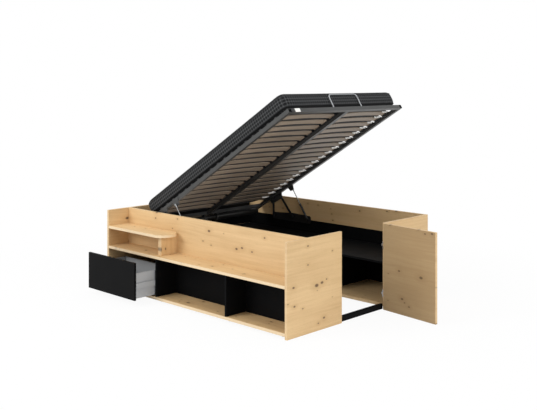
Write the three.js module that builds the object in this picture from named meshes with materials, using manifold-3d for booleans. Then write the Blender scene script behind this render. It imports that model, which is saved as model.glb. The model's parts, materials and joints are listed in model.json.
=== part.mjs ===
// Ottoman bed with an aisle: shelf unit in front, wall unit behind, a door at the foot between them,
// a drawer, and a slatted base with its mattress that rises on a four-bar lift with gas struts.
// Millimetres, +Z up. The origin is on the floor, at mid thickness of the head panel, on the centre line.
// +X runs from the head panel to the foot, and the shelf unit's front faces -Y.
import * as THREE from "three";
import { mergeVertices } from "three/addons/utils/BufferGeometryUtils.js";
import Module from "manifold-3d";

const wasm = await Module();
wasm.setup();

// Carcass
const BED_LENGTH = 2060;
const BED_WIDTH = 1664;
const BED_HEIGHT = 656;
const OAK_BOARD = 22;
const BLACK_BOARD = 16;
const BACK_BOARD = 3;
const BOARD_CHAMFER = 1;
const UNIT_DEPTH = 575;
const UNIT_HEIGHT = 360;
const FLOOR_GAP = 20;
const GLIDE_DIAMETER = 30;
const GLIDE_INSET = 60;

// Shelf unit
const LEDGE_DEPTH = 202;
const NICHE_DEPTH = 199;
const DRAWER_BAY_WIDTH = 624;
const FIRST_NICHE_WIDTH = 783;
const UPPER_SHELF_HEIGHT = 526;
const UPPER_SHELF_STRAIGHT = 603;
const SUPPORT_THICKNESS = 40;
const SUPPORT_SETBACK = 45;

// Wall unit
const WALL_BOARD_HEIGHT = 186;
const WALL_DIVIDER_FROM_FOOT = 572;
const TIE_BAR_HEIGHT = 40;
const TIE_BAR_THICKNESS = 22;
const TIE_BAR_SETBACK = 1;

// Posts on the foot panels that the closed base rests on
const REST_POST_WIDTH = 70;
const REST_POST_DEPTH = 25;
const REST_CLEARANCE = 2;

// Drawer
const DRAWER_FRONT_THICKNESS = 18;
const DRAWER_FRONT_GAP = 3;
const DRAWER_BOX_LENGTH = 350;
const DRAWER_BOX_HEIGHT = 192;
const DRAWER_BOX_LIFT = 12;
const DRAWER_SIDE_THICKNESS = 12;
const DRAWER_BOTTOM_THICKNESS = 5;
const DRAWER_BOTTOM_RAISE = 10;
const GROOVE_DEPTH = 6;
const DRAWER_PULLED_OUT = 200;

// Drawer runners
const RUNNER_SPACE = 12.7;
const RUNNER_HEIGHT = 45;
const RUNNER_DEPTH = 9.5;
const RUNNER_WALL = 1.5;
const RUNNER_LIP = 3;
const RUNNER_LENGTH = 350;
const SLIDE_BAR_HEIGHT = 28;
const SLIDE_BAR_FLANGE = 3.5;

// Door
const DOOR_GAP = 3;
const DOOR_FOOT_GAP = 3;
const DOOR_OPEN = 83;
const KNUCKLE_RADIUS = 3;
const KNUCKLE_LENGTH = 52;
const HINGE_LEAF = 1.2;
const HINGE_WIDTH = 16;
const HINGE_PLATE_LENGTH = 56;
const HINGE_PLATE_WIDTH = 44;
const HINGE_PLATE_THICKNESS = 2;
const HINGE_ARM_DEPTH = 17;
const HINGE_ARM_BEVEL = 8;
const LOWER_HINGE_HEIGHT = 120;
const UPPER_HINGE_FROM_TOP = 170;

// Slatted base
const FRAME_HEAD_SPACE = 91;
const FRAME_FOOT_SPACE = 5;
const FRAME_SIDE_GAP = 29;
const RAIL = 30;
const RAIL_WALL = 2;
const HEAD_RAIL = 40;
const CENTRE_BEAM_WIDTH = 40;
const SLAT_PITCH = 89.7;
const FIRST_SLAT_FROM_FOOT = 148;
const LAST_SLAT_FROM_HEAD = 100;
const SLAT_WIDTH = 53;
const SLAT_THICKNESS = 8;
const SLAT_BOW = 11;
const SLAT_SEAT = 27;
const SLAT_END_GAP = 2;
const CLIP_LENGTH = 34;
const CLIP_WALL = 4;
const SADDLE_ARM = 30;
const SADDLE_COVER = 7;

// Mattress and its stop
const MATTRESS_THICKNESS = 132;
const MATTRESS_FROM_FOOT = 12;
const MATTRESS_FROM_HEAD = 28;
const MATTRESS_SIDE_SPACE = 5;
const MATTRESS_HEAD_CORNER = 115;
const MATTRESS_FOOT_CORNER = 60;
const MATTRESS_EDGE = 38;
const MATTRESS_CROWN = 9;
const MATTRESS_DRAWN_IN = 7;
const MATTRESS_WAIST = 4;
const STOP_WIDTH = 335;
const STOP_HEIGHT = 112;
const STOP_ROD = 10;
const STOP_BEND = 34;

// Lift linkage, in the plane of the bed's side
const LIFT_ANGLE = 31.1;
const REAR_PIVOT_X = 355;
const REAR_PIVOT_Z = 462;
const FRONT_PIVOT_X = 590;
const FRONT_PIVOT_Z = 486;
const STRUT_PIVOT_X = 784;
const STRUT_PIVOT_Z = 470;
const REAR_ARM_LENGTH = 138;
const REAR_ARM_ANGLE = 92;
const REAR_ARM_CLOSING = 30.8;
const BASE_PIVOT_FROM_HEAD = 178;
const BASE_PIVOT_DROP = 15;
const FRONT_ARM_AHEAD = 111;
const FRONT_ARM_DROP = 24;
const STRUT_AHEAD = 283;
const STRUT_DROP = 28;
const PIN_DIAMETER = 12;
const PIN_HEAD_DIAMETER = 19;
const PIN_HEAD_THICKNESS = 2.5;
const EYE_DIAMETER = 28;
const EYE_THICKNESS = 10;
const ARM_WIDTH = 20;
const ARM_THICKNESS = 6;
const LINK_PLANE = 14;
const HANGER_THICKNESS = 4;
const HANGER_MARGIN = 20;
const LIFT_PLATE_THICKNESS = 3;
const LIFT_PLATE_MARGIN = 26;
const STRUT_BODY_DIAMETER = 18;
const STRUT_BODY_LENGTH = 170;
const STRUT_ROD_DIAMETER = 8;
const STRUT_ROD_LENGTH = 175;
const STRUT_STROKE = 92;
const STRUT_EYE_DIAMETER = 20;
const STRUT_FOOT_EYE_DIAMETER = 24;
const STRUT_TANG_DIAMETER = 10;
const STRUT_SHOULDER = 2;

// Fits
const RUNNING_FIT = 0.3;
const SIDE_PLAY = 0.4;
const SEAT_GAP = 0.3;

// How far the shapes of one piece reach into each other
const BITE = 1;

// Places that follow from the sizes
const HEAD_OUT = -OAK_BOARD / 2;
const HEAD_IN = HEAD_OUT + OAK_BOARD;
const FOOT_OUT = HEAD_OUT + BED_LENGTH;
const FOOT_IN = FOOT_OUT - OAK_BOARD;
const SHELF_FRONT = -BED_WIDTH / 2;
const WALL_OUT = BED_WIDTH / 2;
const WALL_IN = WALL_OUT - OAK_BOARD;
const AISLE_FRONT = SHELF_FRONT + UNIT_DEPTH;
const AISLE_WALL = WALL_OUT - UNIT_DEPTH;
const FLOOR_TOP = FLOOR_GAP + OAK_BOARD;
const SHELF_UNDER = UNIT_HEIGHT - OAK_BOARD;
const SIDE_BOARD_OUT = SHELF_FRONT + LEDGE_DEPTH;
const SIDE_BOARD_IN = SIDE_BOARD_OUT + OAK_BOARD;
const DRAWER_DIVIDER_X = HEAD_IN + DRAWER_BAY_WIDTH;
const NICHE_START = DRAWER_DIVIDER_X + BLACK_BOARD;
const NICHE_DIVIDER_X = NICHE_START + FIRST_NICHE_WIDTH;
const NICHE_BACK_Y = SHELF_FRONT + NICHE_DEPTH;
const BASE_WIDTH = WALL_IN - SIDE_BOARD_IN - 2 * FRAME_SIDE_GAP;
const BASE_CENTRE_Y = (WALL_IN + SIDE_BOARD_IN) / 2;
const WALL_BOARD_UNDER = BED_HEIGHT - WALL_BOARD_HEIGHT;
const FRAME_LENGTH = BED_LENGTH - 2 * OAK_BOARD - FRAME_HEAD_SPACE - FRAME_FOOT_SPACE;
const SLAT_RUN = FRAME_LENGTH - FIRST_SLAT_FROM_FOOT - LAST_SLAT_FROM_HEAD;
const SLAT_ROWS = Math.floor(SLAT_RUN / SLAT_PITCH) + 1;
const MATTRESS_LENGTH = FRAME_LENGTH - MATTRESS_FROM_FOOT - MATTRESS_FROM_HEAD;
const MATTRESS_WIDTH = BASE_WIDTH - 2 * MATTRESS_SIDE_SPACE;
const BASE_PIVOT_FROM_FOOT = FRAME_LENGTH - BASE_PIVOT_FROM_HEAD;
const RAD = Math.PI / 180;
const CLOSED_ARM_RISE = REAR_ARM_LENGTH * Math.sin((REAR_ARM_ANGLE + REAR_ARM_CLOSING) * RAD);
const CLOSED_BASE_UNDER = REAR_PIVOT_Z + CLOSED_ARM_RISE + BASE_PIVOT_DROP;

// Colours and finishes
const finish = (color, roughness, metalness) => ({ color, roughness, metalness });
const OAK = finish(0xe1be8c, 0.62, 0);
const BLACK = finish(0x16181a, 0.5, 0);
const CHARCOAL = finish(0x262626, 0.45, 0);
const GREY_BOARD = finish(0xa6a8aa, 0.6, 0);
const STEEL = finish(0xb8bcc0, 0.35, 0.9);
const BLACK_STEEL = finish(0x1b1b1c, 0.45, 0.3);
const CHROME = finish(0xd5d8db, 0.15, 1);
const BEECH = finish(0x7d6c5c, 0.65, 0);
const TICKING = finish(0x34373b, 0.9, 0);

const bed = new THREE.Group();
const base = new THREE.Group();
const door = new THREE.Group();
const drawer = new THREE.Group();
bed.add(base, door, drawer);

function place(parent, name, geometry, look) {
  const mesh = new THREE.Mesh(geometry, new THREE.MeshStandardMaterial(look));
  mesh.name = name;
  parent.add(mesh);
  return mesh;
}

// Boolean work

function solid(geometry) {
  const bare = geometry.index ? geometry.toNonIndexed() : geometry.clone();
  bare.deleteAttribute("normal");
  bare.deleteAttribute("uv");
  const merged = mergeVertices(bare, 1e-4);
  return new wasm.Manifold(
    new wasm.Mesh({
      numProp: 3,
      vertProperties: merged.attributes.position.array,
      triVerts: new Uint32Array(merged.index.array),
    }),
  );
}

function shaped(manifold) {
  const mesh = manifold.getMesh();
  const geometry = new THREE.BufferGeometry();
  geometry.setAttribute("position", new THREE.BufferAttribute(mesh.vertProperties, 3));
  geometry.setIndex(new THREE.BufferAttribute(mesh.triVerts, 1));
  geometry.computeVertexNormals();
  return geometry;
}

function joined(pieces, cuts = []) {
  const whole = pieces.map(solid).reduce((a, b) => a.add(b));
  return shaped(cuts.map(solid).reduce((a, b) => a.subtract(b), whole));
}

// Plain shapes

function rectangle(a0, a1, b0, b1) {
  const shape = new THREE.Shape();
  shape.moveTo(a0, b0);
  shape.lineTo(a1, b0);
  shape.lineTo(a1, b1);
  shape.lineTo(a0, b1);
  shape.closePath();
  return shape;
}

function polygon(points) {
  return new THREE.Shape(points.map(([a, b]) => new THREE.Vector2(a, b)));
}

function circle(a, b, radius) {
  const shape = new THREE.Shape();
  shape.absarc(a, b, radius, 0, 2 * Math.PI, false);
  return shape;
}

function block(x0, x1, y0, y1, z0, z1) {
  const box = new THREE.BoxGeometry(x1 - x0, y1 - y0, z1 - z0);
  return box.translate((x0 + x1) / 2, (y0 + y1) / 2, (z0 + z1) / 2);
}

// A prism whose outline lies in XZ, from y0 to y1.
function prismY(shape, y0, y1, curveSegments = 10) {
  const made = new THREE.ExtrudeGeometry(shape, { depth: y1 - y0, bevelEnabled: false, curveSegments });
  return made.rotateX(Math.PI / 2).translate(0, y1, 0);
}

// A prism whose outline lies in XY, from z0 to z1, with a chamfer on every edge.
function chamferedSlab(shape, z0, z1, chamfer, curveSegments = 24) {
  return new THREE.ExtrudeGeometry(shape, {
    depth: z1 - z0 - 2 * chamfer,
    bevelThickness: chamfer,
    bevelSize: chamfer,
    bevelOffset: -chamfer,
    bevelSegments: 1,
    curveSegments,
  }).translate(0, 0, z0 + chamfer);
}

// A board laid along its two long directions, chamfered all round.
function board(x0, x1, y0, y1, z0, z1, chamfer = BOARD_CHAMFER) {
  const spans = [x1 - x0, y1 - y0, z1 - z0];
  const thin = spans.indexOf(Math.min(...spans));
  if (thin === 2) return chamferedSlab(rectangle(x0, x1, y0, y1), z0, z1, chamfer);
  const turn = new THREE.Matrix4();
  if (thin === 0) {
    turn.makeBasis(new THREE.Vector3(0, 1, 0), new THREE.Vector3(0, 0, 1), new THREE.Vector3(1, 0, 0));
    return chamferedSlab(rectangle(y0, y1, z0, z1), x0, x1, chamfer).applyMatrix4(turn);
  }
  turn.makeBasis(new THREE.Vector3(0, 0, 1), new THREE.Vector3(1, 0, 0), new THREE.Vector3(0, 1, 0));
  return chamferedSlab(rectangle(z0, z1, x0, x1), y0, y1, chamfer).applyMatrix4(turn);
}

function uprightCylinder(x, y, z0, z1, radius, segments = 16) {
  const made = new THREE.CylinderGeometry(radius, radius, z1 - z0, segments);
  return made.rotateX(Math.PI / 2).translate(x, y, (z0 + z1) / 2);
}

// A shelf board on round glides, which stand under its long edges.
function boardOnGlides(x0, x1, y0, y1, glideXs) {
  const pieces = [board(x0, x1, y0, y1, FLOOR_GAP, FLOOR_TOP)];
  const bite = OAK_BOARD / 2;
  for (const x of glideXs)
    for (const y of [y0 + GLIDE_INSET, y1 - GLIDE_INSET])
      pieces.push(uprightCylinder(x, y, 0, FLOOR_GAP + bite, GLIDE_DIAMETER / 2));
  return joined(pieces);
}

// End panels, shelf unit and wall unit

// A foot panel with the post that carries a corner of the closed base.
function footPanel(y0, y1, postY0, postY1) {
  const panel = board(FOOT_IN, FOOT_OUT, y0, y1, 0, BED_HEIGHT);
  const postTop = CLOSED_BASE_UNDER - REST_CLEARANCE;
  const post = block(FOOT_IN - REST_POST_DEPTH, FOOT_IN + BITE, postY0, postY1, UNIT_HEIGHT, postTop);
  return joined([panel, post]);
}

function addEndPanels() {
  const front = footPanel(SHELF_FRONT, AISLE_FRONT, SIDE_BOARD_IN, SIDE_BOARD_IN + REST_POST_WIDTH);
  const wall = footPanel(AISLE_WALL, WALL_OUT, WALL_IN - REST_POST_WIDTH, WALL_IN);
  place(bed, "head_panel", board(HEAD_OUT, HEAD_IN, SHELF_FRONT, WALL_OUT, 0, BED_HEIGHT), OAK);
  place(bed, "front_end_panel", front, OAK);
  place(bed, "wall_end_panel", wall, OAK);
}

function addSideBoards() {
  const side = board(HEAD_IN, FOOT_IN, SIDE_BOARD_OUT, SIDE_BOARD_IN, UNIT_HEIGHT, BED_HEIGHT);
  const wall = board(HEAD_IN, FOOT_IN, WALL_IN, WALL_OUT, WALL_BOARD_UNDER, BED_HEIGHT);
  place(bed, "side_board", side, OAK);
  place(bed, "wall_board", wall, OAK);
}

function addShelfUnit() {
  const aisleIn = AISLE_FRONT - BLACK_BOARD;
  const glides = [HEAD_IN + GLIDE_INSET, NICHE_START, NICHE_DIVIDER_X, FOOT_IN - GLIDE_INSET];
  const middle = board(HEAD_IN, FOOT_IN, SHELF_FRONT, AISLE_FRONT, SHELF_UNDER, UNIT_HEIGHT);
  place(bed, "middle_shelf", middle, OAK);
  place(bed, "bottom_shelf", boardOnGlides(HEAD_IN, FOOT_IN, SHELF_FRONT, AISLE_FRONT, glides), OAK);
  const aisle = board(HEAD_IN, FOOT_IN, aisleIn, AISLE_FRONT, FLOOR_TOP, SHELF_UNDER);
  place(bed, "aisle_panel", aisle, BLACK);
  const bayWall = board(DRAWER_DIVIDER_X, NICHE_START, SHELF_FRONT, aisleIn, FLOOR_TOP, SHELF_UNDER);
  place(bed, "drawer_divider", bayWall, BLACK);
  const nicheEnd = NICHE_DIVIDER_X + BLACK_BOARD;
  const nicheWall = board(NICHE_DIVIDER_X, nicheEnd, SHELF_FRONT, NICHE_BACK_Y, FLOOR_TOP, SHELF_UNDER);
  place(bed, "niche_divider", nicheWall, BLACK);
  const back = block(NICHE_START, FOOT_IN, NICHE_BACK_Y, NICHE_BACK_Y + BACK_BOARD, FLOOR_TOP, SHELF_UNDER);
  place(bed, "niche_back", back, BLACK);
}

// The upper shelf ends in a half circle as wide as the ledge is deep.
function addUpperShelf() {
  const radius = LEDGE_DEPTH / 2;
  const endX = HEAD_IN + UPPER_SHELF_STRAIGHT;
  const outline = new THREE.Shape();
  outline.moveTo(HEAD_IN, SHELF_FRONT);
  outline.lineTo(endX, SHELF_FRONT);
  outline.absarc(endX, SHELF_FRONT + radius, radius, -Math.PI / 2, Math.PI / 2, false);
  outline.lineTo(HEAD_IN, SIDE_BOARD_OUT);
  outline.closePath();
  const under = UPPER_SHELF_HEIGHT - OAK_BOARD;
  place(bed, "upper_shelf", chamferedSlab(outline, under, UPPER_SHELF_HEIGHT, BOARD_CHAMFER), OAK);
  const supportFront = SHELF_FRONT + SUPPORT_SETBACK;
  const support = board(endX, endX + SUPPORT_THICKNESS, supportFront, SIDE_BOARD_OUT, UNIT_HEIGHT, under);
  place(bed, "upper_shelf_support", support, OAK);
}

function addWallUnit() {
  const dividerX = FOOT_IN - WALL_DIVIDER_FROM_FOOT - BLACK_BOARD;
  const deckUnder = UNIT_HEIGHT - BLACK_BOARD;
  const glides = [HEAD_IN + GLIDE_INSET, (HEAD_IN + dividerX) / 2, dividerX, FOOT_IN - GLIDE_INSET];
  place(bed, "wall_unit_floor", boardOnGlides(HEAD_IN, FOOT_IN, AISLE_WALL, WALL_IN, glides), OAK);
  const deck = board(HEAD_IN, FOOT_IN, AISLE_WALL, WALL_IN, deckUnder, UNIT_HEIGHT);
  place(bed, "wall_unit_deck", deck, BLACK);
  const divider = board(dividerX, dividerX + BLACK_BOARD, AISLE_WALL, WALL_IN, FLOOR_TOP, deckUnder);
  place(bed, "wall_unit_divider", divider, BLACK);
  const back = block(HEAD_IN, FOOT_IN, WALL_IN, WALL_IN + BACK_BOARD, FLOOR_GAP, WALL_BOARD_UNDER);
  place(bed, "wall_unit_back", back, BLACK);
  const barX1 = FOOT_IN - TIE_BAR_SETBACK;
  const barX0 = barX1 - TIE_BAR_THICKNESS;
  place(bed, "foot_tie_bar", board(barX0, barX1, AISLE_FRONT, AISLE_WALL, 0, TIE_BAR_HEIGHT), BLACK);
}

// Drawer: side +1 is the divider's side of the bay and -1 the head panel's.

const BOX_UNDER = FLOOR_TOP + DRAWER_FRONT_GAP + DRAWER_BOX_LIFT;
const RUNNER_Z = BOX_UNDER + DRAWER_BOX_HEIGHT / 2;
const bayWallX = (side) => (side > 0 ? DRAWER_DIVIDER_X : HEAD_IN);

// A prism whose outline is drawn as (distance from the bay's wall, height), from y0 to y1.
function wallProfile(side, outline, y0, y1) {
  const points = outline.map(([reach, z]) => [bayWallX(side) - side * reach, z]);
  if (side > 0) points.reverse();
  return prismY(polygon(points), y0, y1);
}

function runnerOutline() {
  const half = RUNNER_HEIGHT / 2;
  const lip = half - RUNNER_WALL - RUNNER_LIP;
  const inner = half - RUNNER_WALL;
  return [
    [0, -half],
    [RUNNER_DEPTH, -half],
    [RUNNER_DEPTH, -lip],
    [RUNNER_DEPTH - RUNNER_WALL, -lip],
    [RUNNER_DEPTH - RUNNER_WALL, -inner],
    [RUNNER_WALL, -inner],
    [RUNNER_WALL, inner],
    [RUNNER_DEPTH - RUNNER_WALL, inner],
    [RUNNER_DEPTH - RUNNER_WALL, lip],
    [RUNNER_DEPTH, lip],
    [RUNNER_DEPTH, half],
    [0, half],
  ].map(([reach, z]) => [reach, RUNNER_Z + z]);
}

// The sliding bar stands on the drawer's side and its flange runs inside the fixed channel.
function slideBarOutline() {
  const stem = SLIDE_BAR_HEIGHT / 2;
  const flange = RUNNER_HEIGHT / 2 - RUNNER_WALL - RUNNING_FIT;
  const near = RUNNER_WALL + RUNNING_FIT;
  const root = RUNNER_SPACE + BOARD_CHAMFER;
  return [
    [near, -flange],
    [near + SLIDE_BAR_FLANGE, -flange],
    [near + SLIDE_BAR_FLANGE, -stem],
    [root, -stem],
    [root, stem],
    [near + SLIDE_BAR_FLANGE, stem],
    [near + SLIDE_BAR_FLANGE, flange],
    [near, flange],
  ].map(([reach, z]) => [reach, RUNNER_Z + z]);
}

function drawerSide(side, y0, y1) {
  const outer = RUNNER_SPACE;
  const inner = RUNNER_SPACE + DRAWER_SIDE_THICKNESS;
  const grooveUnder = BOX_UNDER + DRAWER_BOTTOM_RAISE;
  const grooveTop = grooveUnder + DRAWER_BOTTOM_THICKNESS + SEAT_GAP;
  const outline = [
    [outer, BOX_UNDER],
    [inner, BOX_UNDER],
    [inner, grooveUnder],
    [inner - GROOVE_DEPTH, grooveUnder],
    [inner - GROOVE_DEPTH, grooveTop],
    [inner, grooveTop],
    [inner, BOX_UNDER + DRAWER_BOX_HEIGHT],
    [outer, BOX_UNDER + DRAWER_BOX_HEIGHT],
  ];
  return joined([wallProfile(side, outline, y0, y1), wallProfile(side, slideBarOutline(), y0, y1)]);
}

function addDrawer() {
  drawer.position.y = -DRAWER_PULLED_OUT;
  const frontIn = SHELF_FRONT + DRAWER_FRONT_THICKNESS;
  const boxEnd = frontIn + DRAWER_BOX_LENGTH;
  const frontX0 = HEAD_IN + DRAWER_FRONT_GAP;
  const frontX1 = DRAWER_DIVIDER_X - DRAWER_FRONT_GAP;
  const frontZ0 = FLOOR_TOP + DRAWER_FRONT_GAP;
  const frontZ1 = SHELF_UNDER - DRAWER_FRONT_GAP;
  const front = board(frontX0, frontX1, SHELF_FRONT, frontIn, frontZ0, frontZ1);
  place(drawer, "drawer_front", front, CHARCOAL);
  place(drawer, "drawer_side_head", drawerSide(-1, frontIn, boxEnd), GREY_BOARD);
  place(drawer, "drawer_side_divider", drawerSide(1, frontIn, boxEnd), GREY_BOARD);
  const insideX0 = HEAD_IN + RUNNER_SPACE + DRAWER_SIDE_THICKNESS;
  const insideX1 = DRAWER_DIVIDER_X - RUNNER_SPACE - DRAWER_SIDE_THICKNESS;
  const backY = boxEnd - DRAWER_SIDE_THICKNESS;
  const backZ0 = BOX_UNDER + DRAWER_BOTTOM_RAISE + DRAWER_BOTTOM_THICKNESS + SEAT_GAP;
  const back = board(insideX0, insideX1, backY, boxEnd, backZ0, BOX_UNDER + DRAWER_BOX_HEIGHT);
  place(drawer, "drawer_back", back, GREY_BOARD);
  const tongue = GROOVE_DEPTH - SEAT_GAP;
  const bottomZ = BOX_UNDER + DRAWER_BOTTOM_RAISE;
  const bottomTop = bottomZ + DRAWER_BOTTOM_THICKNESS;
  const bottom = block(insideX0 - tongue, insideX1 + tongue, frontIn, boxEnd, bottomZ, bottomTop);
  place(drawer, "drawer_bottom", bottom, GREY_BOARD);
}

function addRunners() {
  const y0 = SHELF_FRONT + DRAWER_FRONT_THICKNESS + DRAWER_FRONT_GAP;
  const y1 = y0 + RUNNER_LENGTH;
  place(bed, "drawer_runner_head_side", wallProfile(-1, runnerOutline(), y0, y1), STEEL);
  place(bed, "drawer_runner_divider_side", wallProfile(1, runnerOutline(), y0, y1), STEEL);
}

// Door and its hinges. The door turns about the knuckles at the outer corner of the wall unit's end panel.

const DOOR_EDGE_Y = AISLE_WALL - DOOR_GAP;
const HINGE_AXIS_X = FOOT_OUT + KNUCKLE_RADIUS + RUNNING_FIT;
const HINGE_AXIS_Y = AISLE_WALL - DOOR_GAP / 2;
const HINGE_HEIGHTS = [LOWER_HINGE_HEIGHT, BED_HEIGHT - UPPER_HINGE_FROM_TOP];

function addDoor() {
  door.position.set(HINGE_AXIS_X, HINGE_AXIS_Y, 0);
  door.rotation.z = DOOR_OPEN * RAD;
  const x0 = FOOT_IN - HINGE_AXIS_X;
  const x1 = FOOT_OUT - HINGE_AXIS_X;
  const free = AISLE_FRONT + DOOR_GAP - HINGE_AXIS_Y;
  const edge = DOOR_EDGE_Y - HINGE_AXIS_Y;
  const leaves = HINGE_HEIGHTS.map((z) => {
    const half = KNUCKLE_LENGTH / 6 - RUNNING_FIT;
    const leaf = block(x0 + OAK_BOARD / 3, 0, edge - RUNNING_FIT, edge + HINGE_LEAF, z - half, z + half);
    return [leaf, uprightCylinder(0, 0, z - half, z + half, KNUCKLE_RADIUS)];
  });
  const panel = board(x0, x1, free, edge, DOOR_FOOT_GAP, BED_HEIGHT);
  place(door, "door_panel", joined([panel, ...leaves.flat()]), OAK);
}

// A hinge's fixed half: plate and arm on the end panel's inner face, a leaf round its edge, and two knuckles.
function fixedHinge(z) {
  const plateY1 = AISLE_WALL + HINGE_PLATE_WIDTH;
  const plateX0 = FOOT_IN - HINGE_PLATE_THICKNESS;
  const armX0 = FOOT_IN - HINGE_ARM_DEPTH;
  const halfPlate = HINGE_PLATE_LENGTH / 2;
  const halfWidth = HINGE_WIDTH / 2;
  const leafY0 = AISLE_WALL - HINGE_LEAF;
  const plate = block(plateX0, FOOT_IN, leafY0, plateY1, z - halfPlate, z + halfPlate);
  const armOutline = polygon([
    [plateX0 + BITE, leafY0],
    [plateX0 + BITE, plateY1 - HINGE_ARM_BEVEL],
    [armX0, plateY1 - 2 * HINGE_ARM_BEVEL],
    [armX0, leafY0 + HINGE_ARM_BEVEL],
    [armX0 + HINGE_ARM_BEVEL, leafY0],
  ]);
  const arm = new THREE.ExtrudeGeometry(armOutline, { depth: HINGE_WIDTH, bevelEnabled: false });
  arm.translate(0, 0, z - halfWidth);
  const knuckleEnd = KNUCKLE_LENGTH / 2;
  const knuckleStart = KNUCKLE_LENGTH / 6 + RUNNING_FIT;
  const pieces = [plate, arm];
  for (const side of [-1, 1]) {
    const z0 = z + Math.min(side * knuckleStart, side * knuckleEnd);
    const z1 = z + Math.max(side * knuckleStart, side * knuckleEnd);
    pieces.push(block(plateX0, HINGE_AXIS_X, leafY0, AISLE_WALL, z0, z1));
    pieces.push(uprightCylinder(HINGE_AXIS_X, HINGE_AXIS_Y, z0, z1, KNUCKLE_RADIUS));
  }
  return joined(pieces);
}

function addHinges() {
  const [lower, upper] = HINGE_HEIGHTS;
  place(bed, "door_hinge_lower", fixedHinge(lower), STEEL);
  place(bed, "door_hinge_upper", fixedHinge(upper), STEEL);
}

// Lift linkage: four bars in the vertical plane beside each rail, and a gas strut.

const rise = (x, z) => [
  x * Math.cos(LIFT_ANGLE * RAD) - z * Math.sin(LIFT_ANGLE * RAD),
  x * Math.sin(LIFT_ANGLE * RAD) + z * Math.cos(LIFT_ANGLE * RAD),
];
const REAR_TOP_X = REAR_PIVOT_X + REAR_ARM_LENGTH * Math.cos(REAR_ARM_ANGLE * RAD);
const REAR_TOP_Z = REAR_PIVOT_Z + REAR_ARM_LENGTH * Math.sin(REAR_ARM_ANGLE * RAD);
const [pivotReachX, pivotReachZ] = rise(-BASE_PIVOT_FROM_FOOT, -BASE_PIVOT_DROP);
const BASE_X = REAR_TOP_X - pivotReachX;
const BASE_Z = REAR_TOP_Z - pivotReachZ;

// A point of the base, given by its distance from the foot end and its drop below the frame, at rest.
function onBase(fromFoot, drop) {
  const [x, z] = rise(-fromFoot, -drop);
  return [BASE_X + x, BASE_Z + z];
}

const FRONT_TOP = onBase(BASE_PIVOT_FROM_FOOT - FRONT_ARM_AHEAD, FRONT_ARM_DROP);
const STRUT_TOP = onBase(BASE_PIVOT_FROM_FOOT - STRUT_AHEAD, STRUT_DROP);
const HANGER_FACE = FRAME_SIDE_GAP - HANGER_THICKNESS;
const HANGER_LAP = RAIL_WALL / 2;

// Depths are measured from a side board's inner face towards the middle of the bed.
function prismAt(side, shape, depth0, depth1, curveSegments = 10) {
  const face = side > 0 ? WALL_IN : SIDE_BOARD_IN;
  const ends = [face - side * depth0, face - side * depth1];
  return prismY(shape, Math.min(...ends), Math.max(...ends), curveSegments);
}

function capsule([x0, z0], [x1, z1], width) {
  const along = Math.atan2(z1 - z0, x1 - x0);
  const shape = new THREE.Shape();
  shape.absarc(x1, z1, width / 2, along - Math.PI / 2, along + Math.PI / 2, false);
  shape.absarc(x0, z0, width / 2, along + Math.PI / 2, along + 1.5 * Math.PI, false);
  shape.closePath();
  return shape;
}

function pin(side, x, z, depth0, depth1) {
  const shank = prismAt(side, circle(x, z, PIN_DIAMETER / 2), depth0, depth1 + PIN_HEAD_THICKNESS);
  const head = circle(x, z, PIN_HEAD_DIAMETER / 2);
  return [shank, prismAt(side, head, depth1, depth1 + PIN_HEAD_THICKNESS)];
}

const boreAt = (side, x, z) =>
  prismAt(side, circle(x, z, PIN_DIAMETER / 2 + RUNNING_FIT), -BITE, FRAME_SIDE_GAP + RAIL);

function eye(side, x, z, diameter = EYE_DIAMETER) {
  const half = EYE_THICKNESS / 2;
  return prismAt(side, circle(x, z, diameter / 2), LINK_PLANE - half, LINK_PLANE + half);
}

function liftPlate(side) {
  const x0 = REAR_PIVOT_X - LIFT_PLATE_MARGIN;
  const x1 = STRUT_PIVOT_X + LIFT_PLATE_MARGIN;
  const z0 = REAR_PIVOT_Z - LIFT_PLATE_MARGIN;
  const z1 = FRONT_PIVOT_Z + LIFT_PLATE_MARGIN;
  const corner = LIFT_PLATE_MARGIN / 2;
  const middle = (x0 + x1) / 2;
  const outline = polygon([
    [x0 + corner, z0],
    [x1 - corner, z0],
    [x1, z0 + corner],
    [x1, z1 - corner * 1.5],
    [x1 - corner, z1 - corner / 2],
    [FRONT_PIVOT_X + 2 * corner, z1],
    [middle, z1],
    [REAR_PIVOT_X + 2 * corner, z1 - corner],
    [x0 + corner, z1 - corner],
    [x0, z1 - 2 * corner],
    [x0, z0 + corner],
  ]);
  const plate = prismAt(side, outline, 0, LIFT_PLATE_THICKNESS);
  const headDepth = LINK_PLANE + EYE_THICKNESS / 2 + SIDE_PLAY;
  const pins = [
    [REAR_PIVOT_X, REAR_PIVOT_Z],
    [FRONT_PIVOT_X, FRONT_PIVOT_Z],
    [STRUT_PIVOT_X, STRUT_PIVOT_Z],
  ].flatMap(([x, z]) => pin(side, x, z, LIFT_PLATE_THICKNESS / 2, headDepth));
  return joined([plate, ...pins]);
}

function rearArm(side) {
  const foot = [REAR_PIVOT_X, REAR_PIVOT_Z];
  const top = [REAR_TOP_X, REAR_TOP_Z];
  const half = ARM_THICKNESS / 2;
  const bar = prismAt(side, capsule(foot, top, ARM_WIDTH), LINK_PLANE - half, LINK_PLANE + half);
  const through = FRAME_SIDE_GAP + HANGER_LAP + SIDE_PLAY;
  const upperPin = pin(side, ...top, LINK_PLANE, through);
  return joined([bar, eye(side, ...foot), eye(side, ...top), ...upperPin], [boreAt(side, ...foot)]);
}

// The front arm's upper pin stops beside the hanger: this is the pivot that is left open.
function openPin(side, x, z) {
  return prismAt(side, circle(x, z, PIN_DIAMETER / 2), LINK_PLANE, HANGER_FACE - SIDE_PLAY);
}

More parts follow.
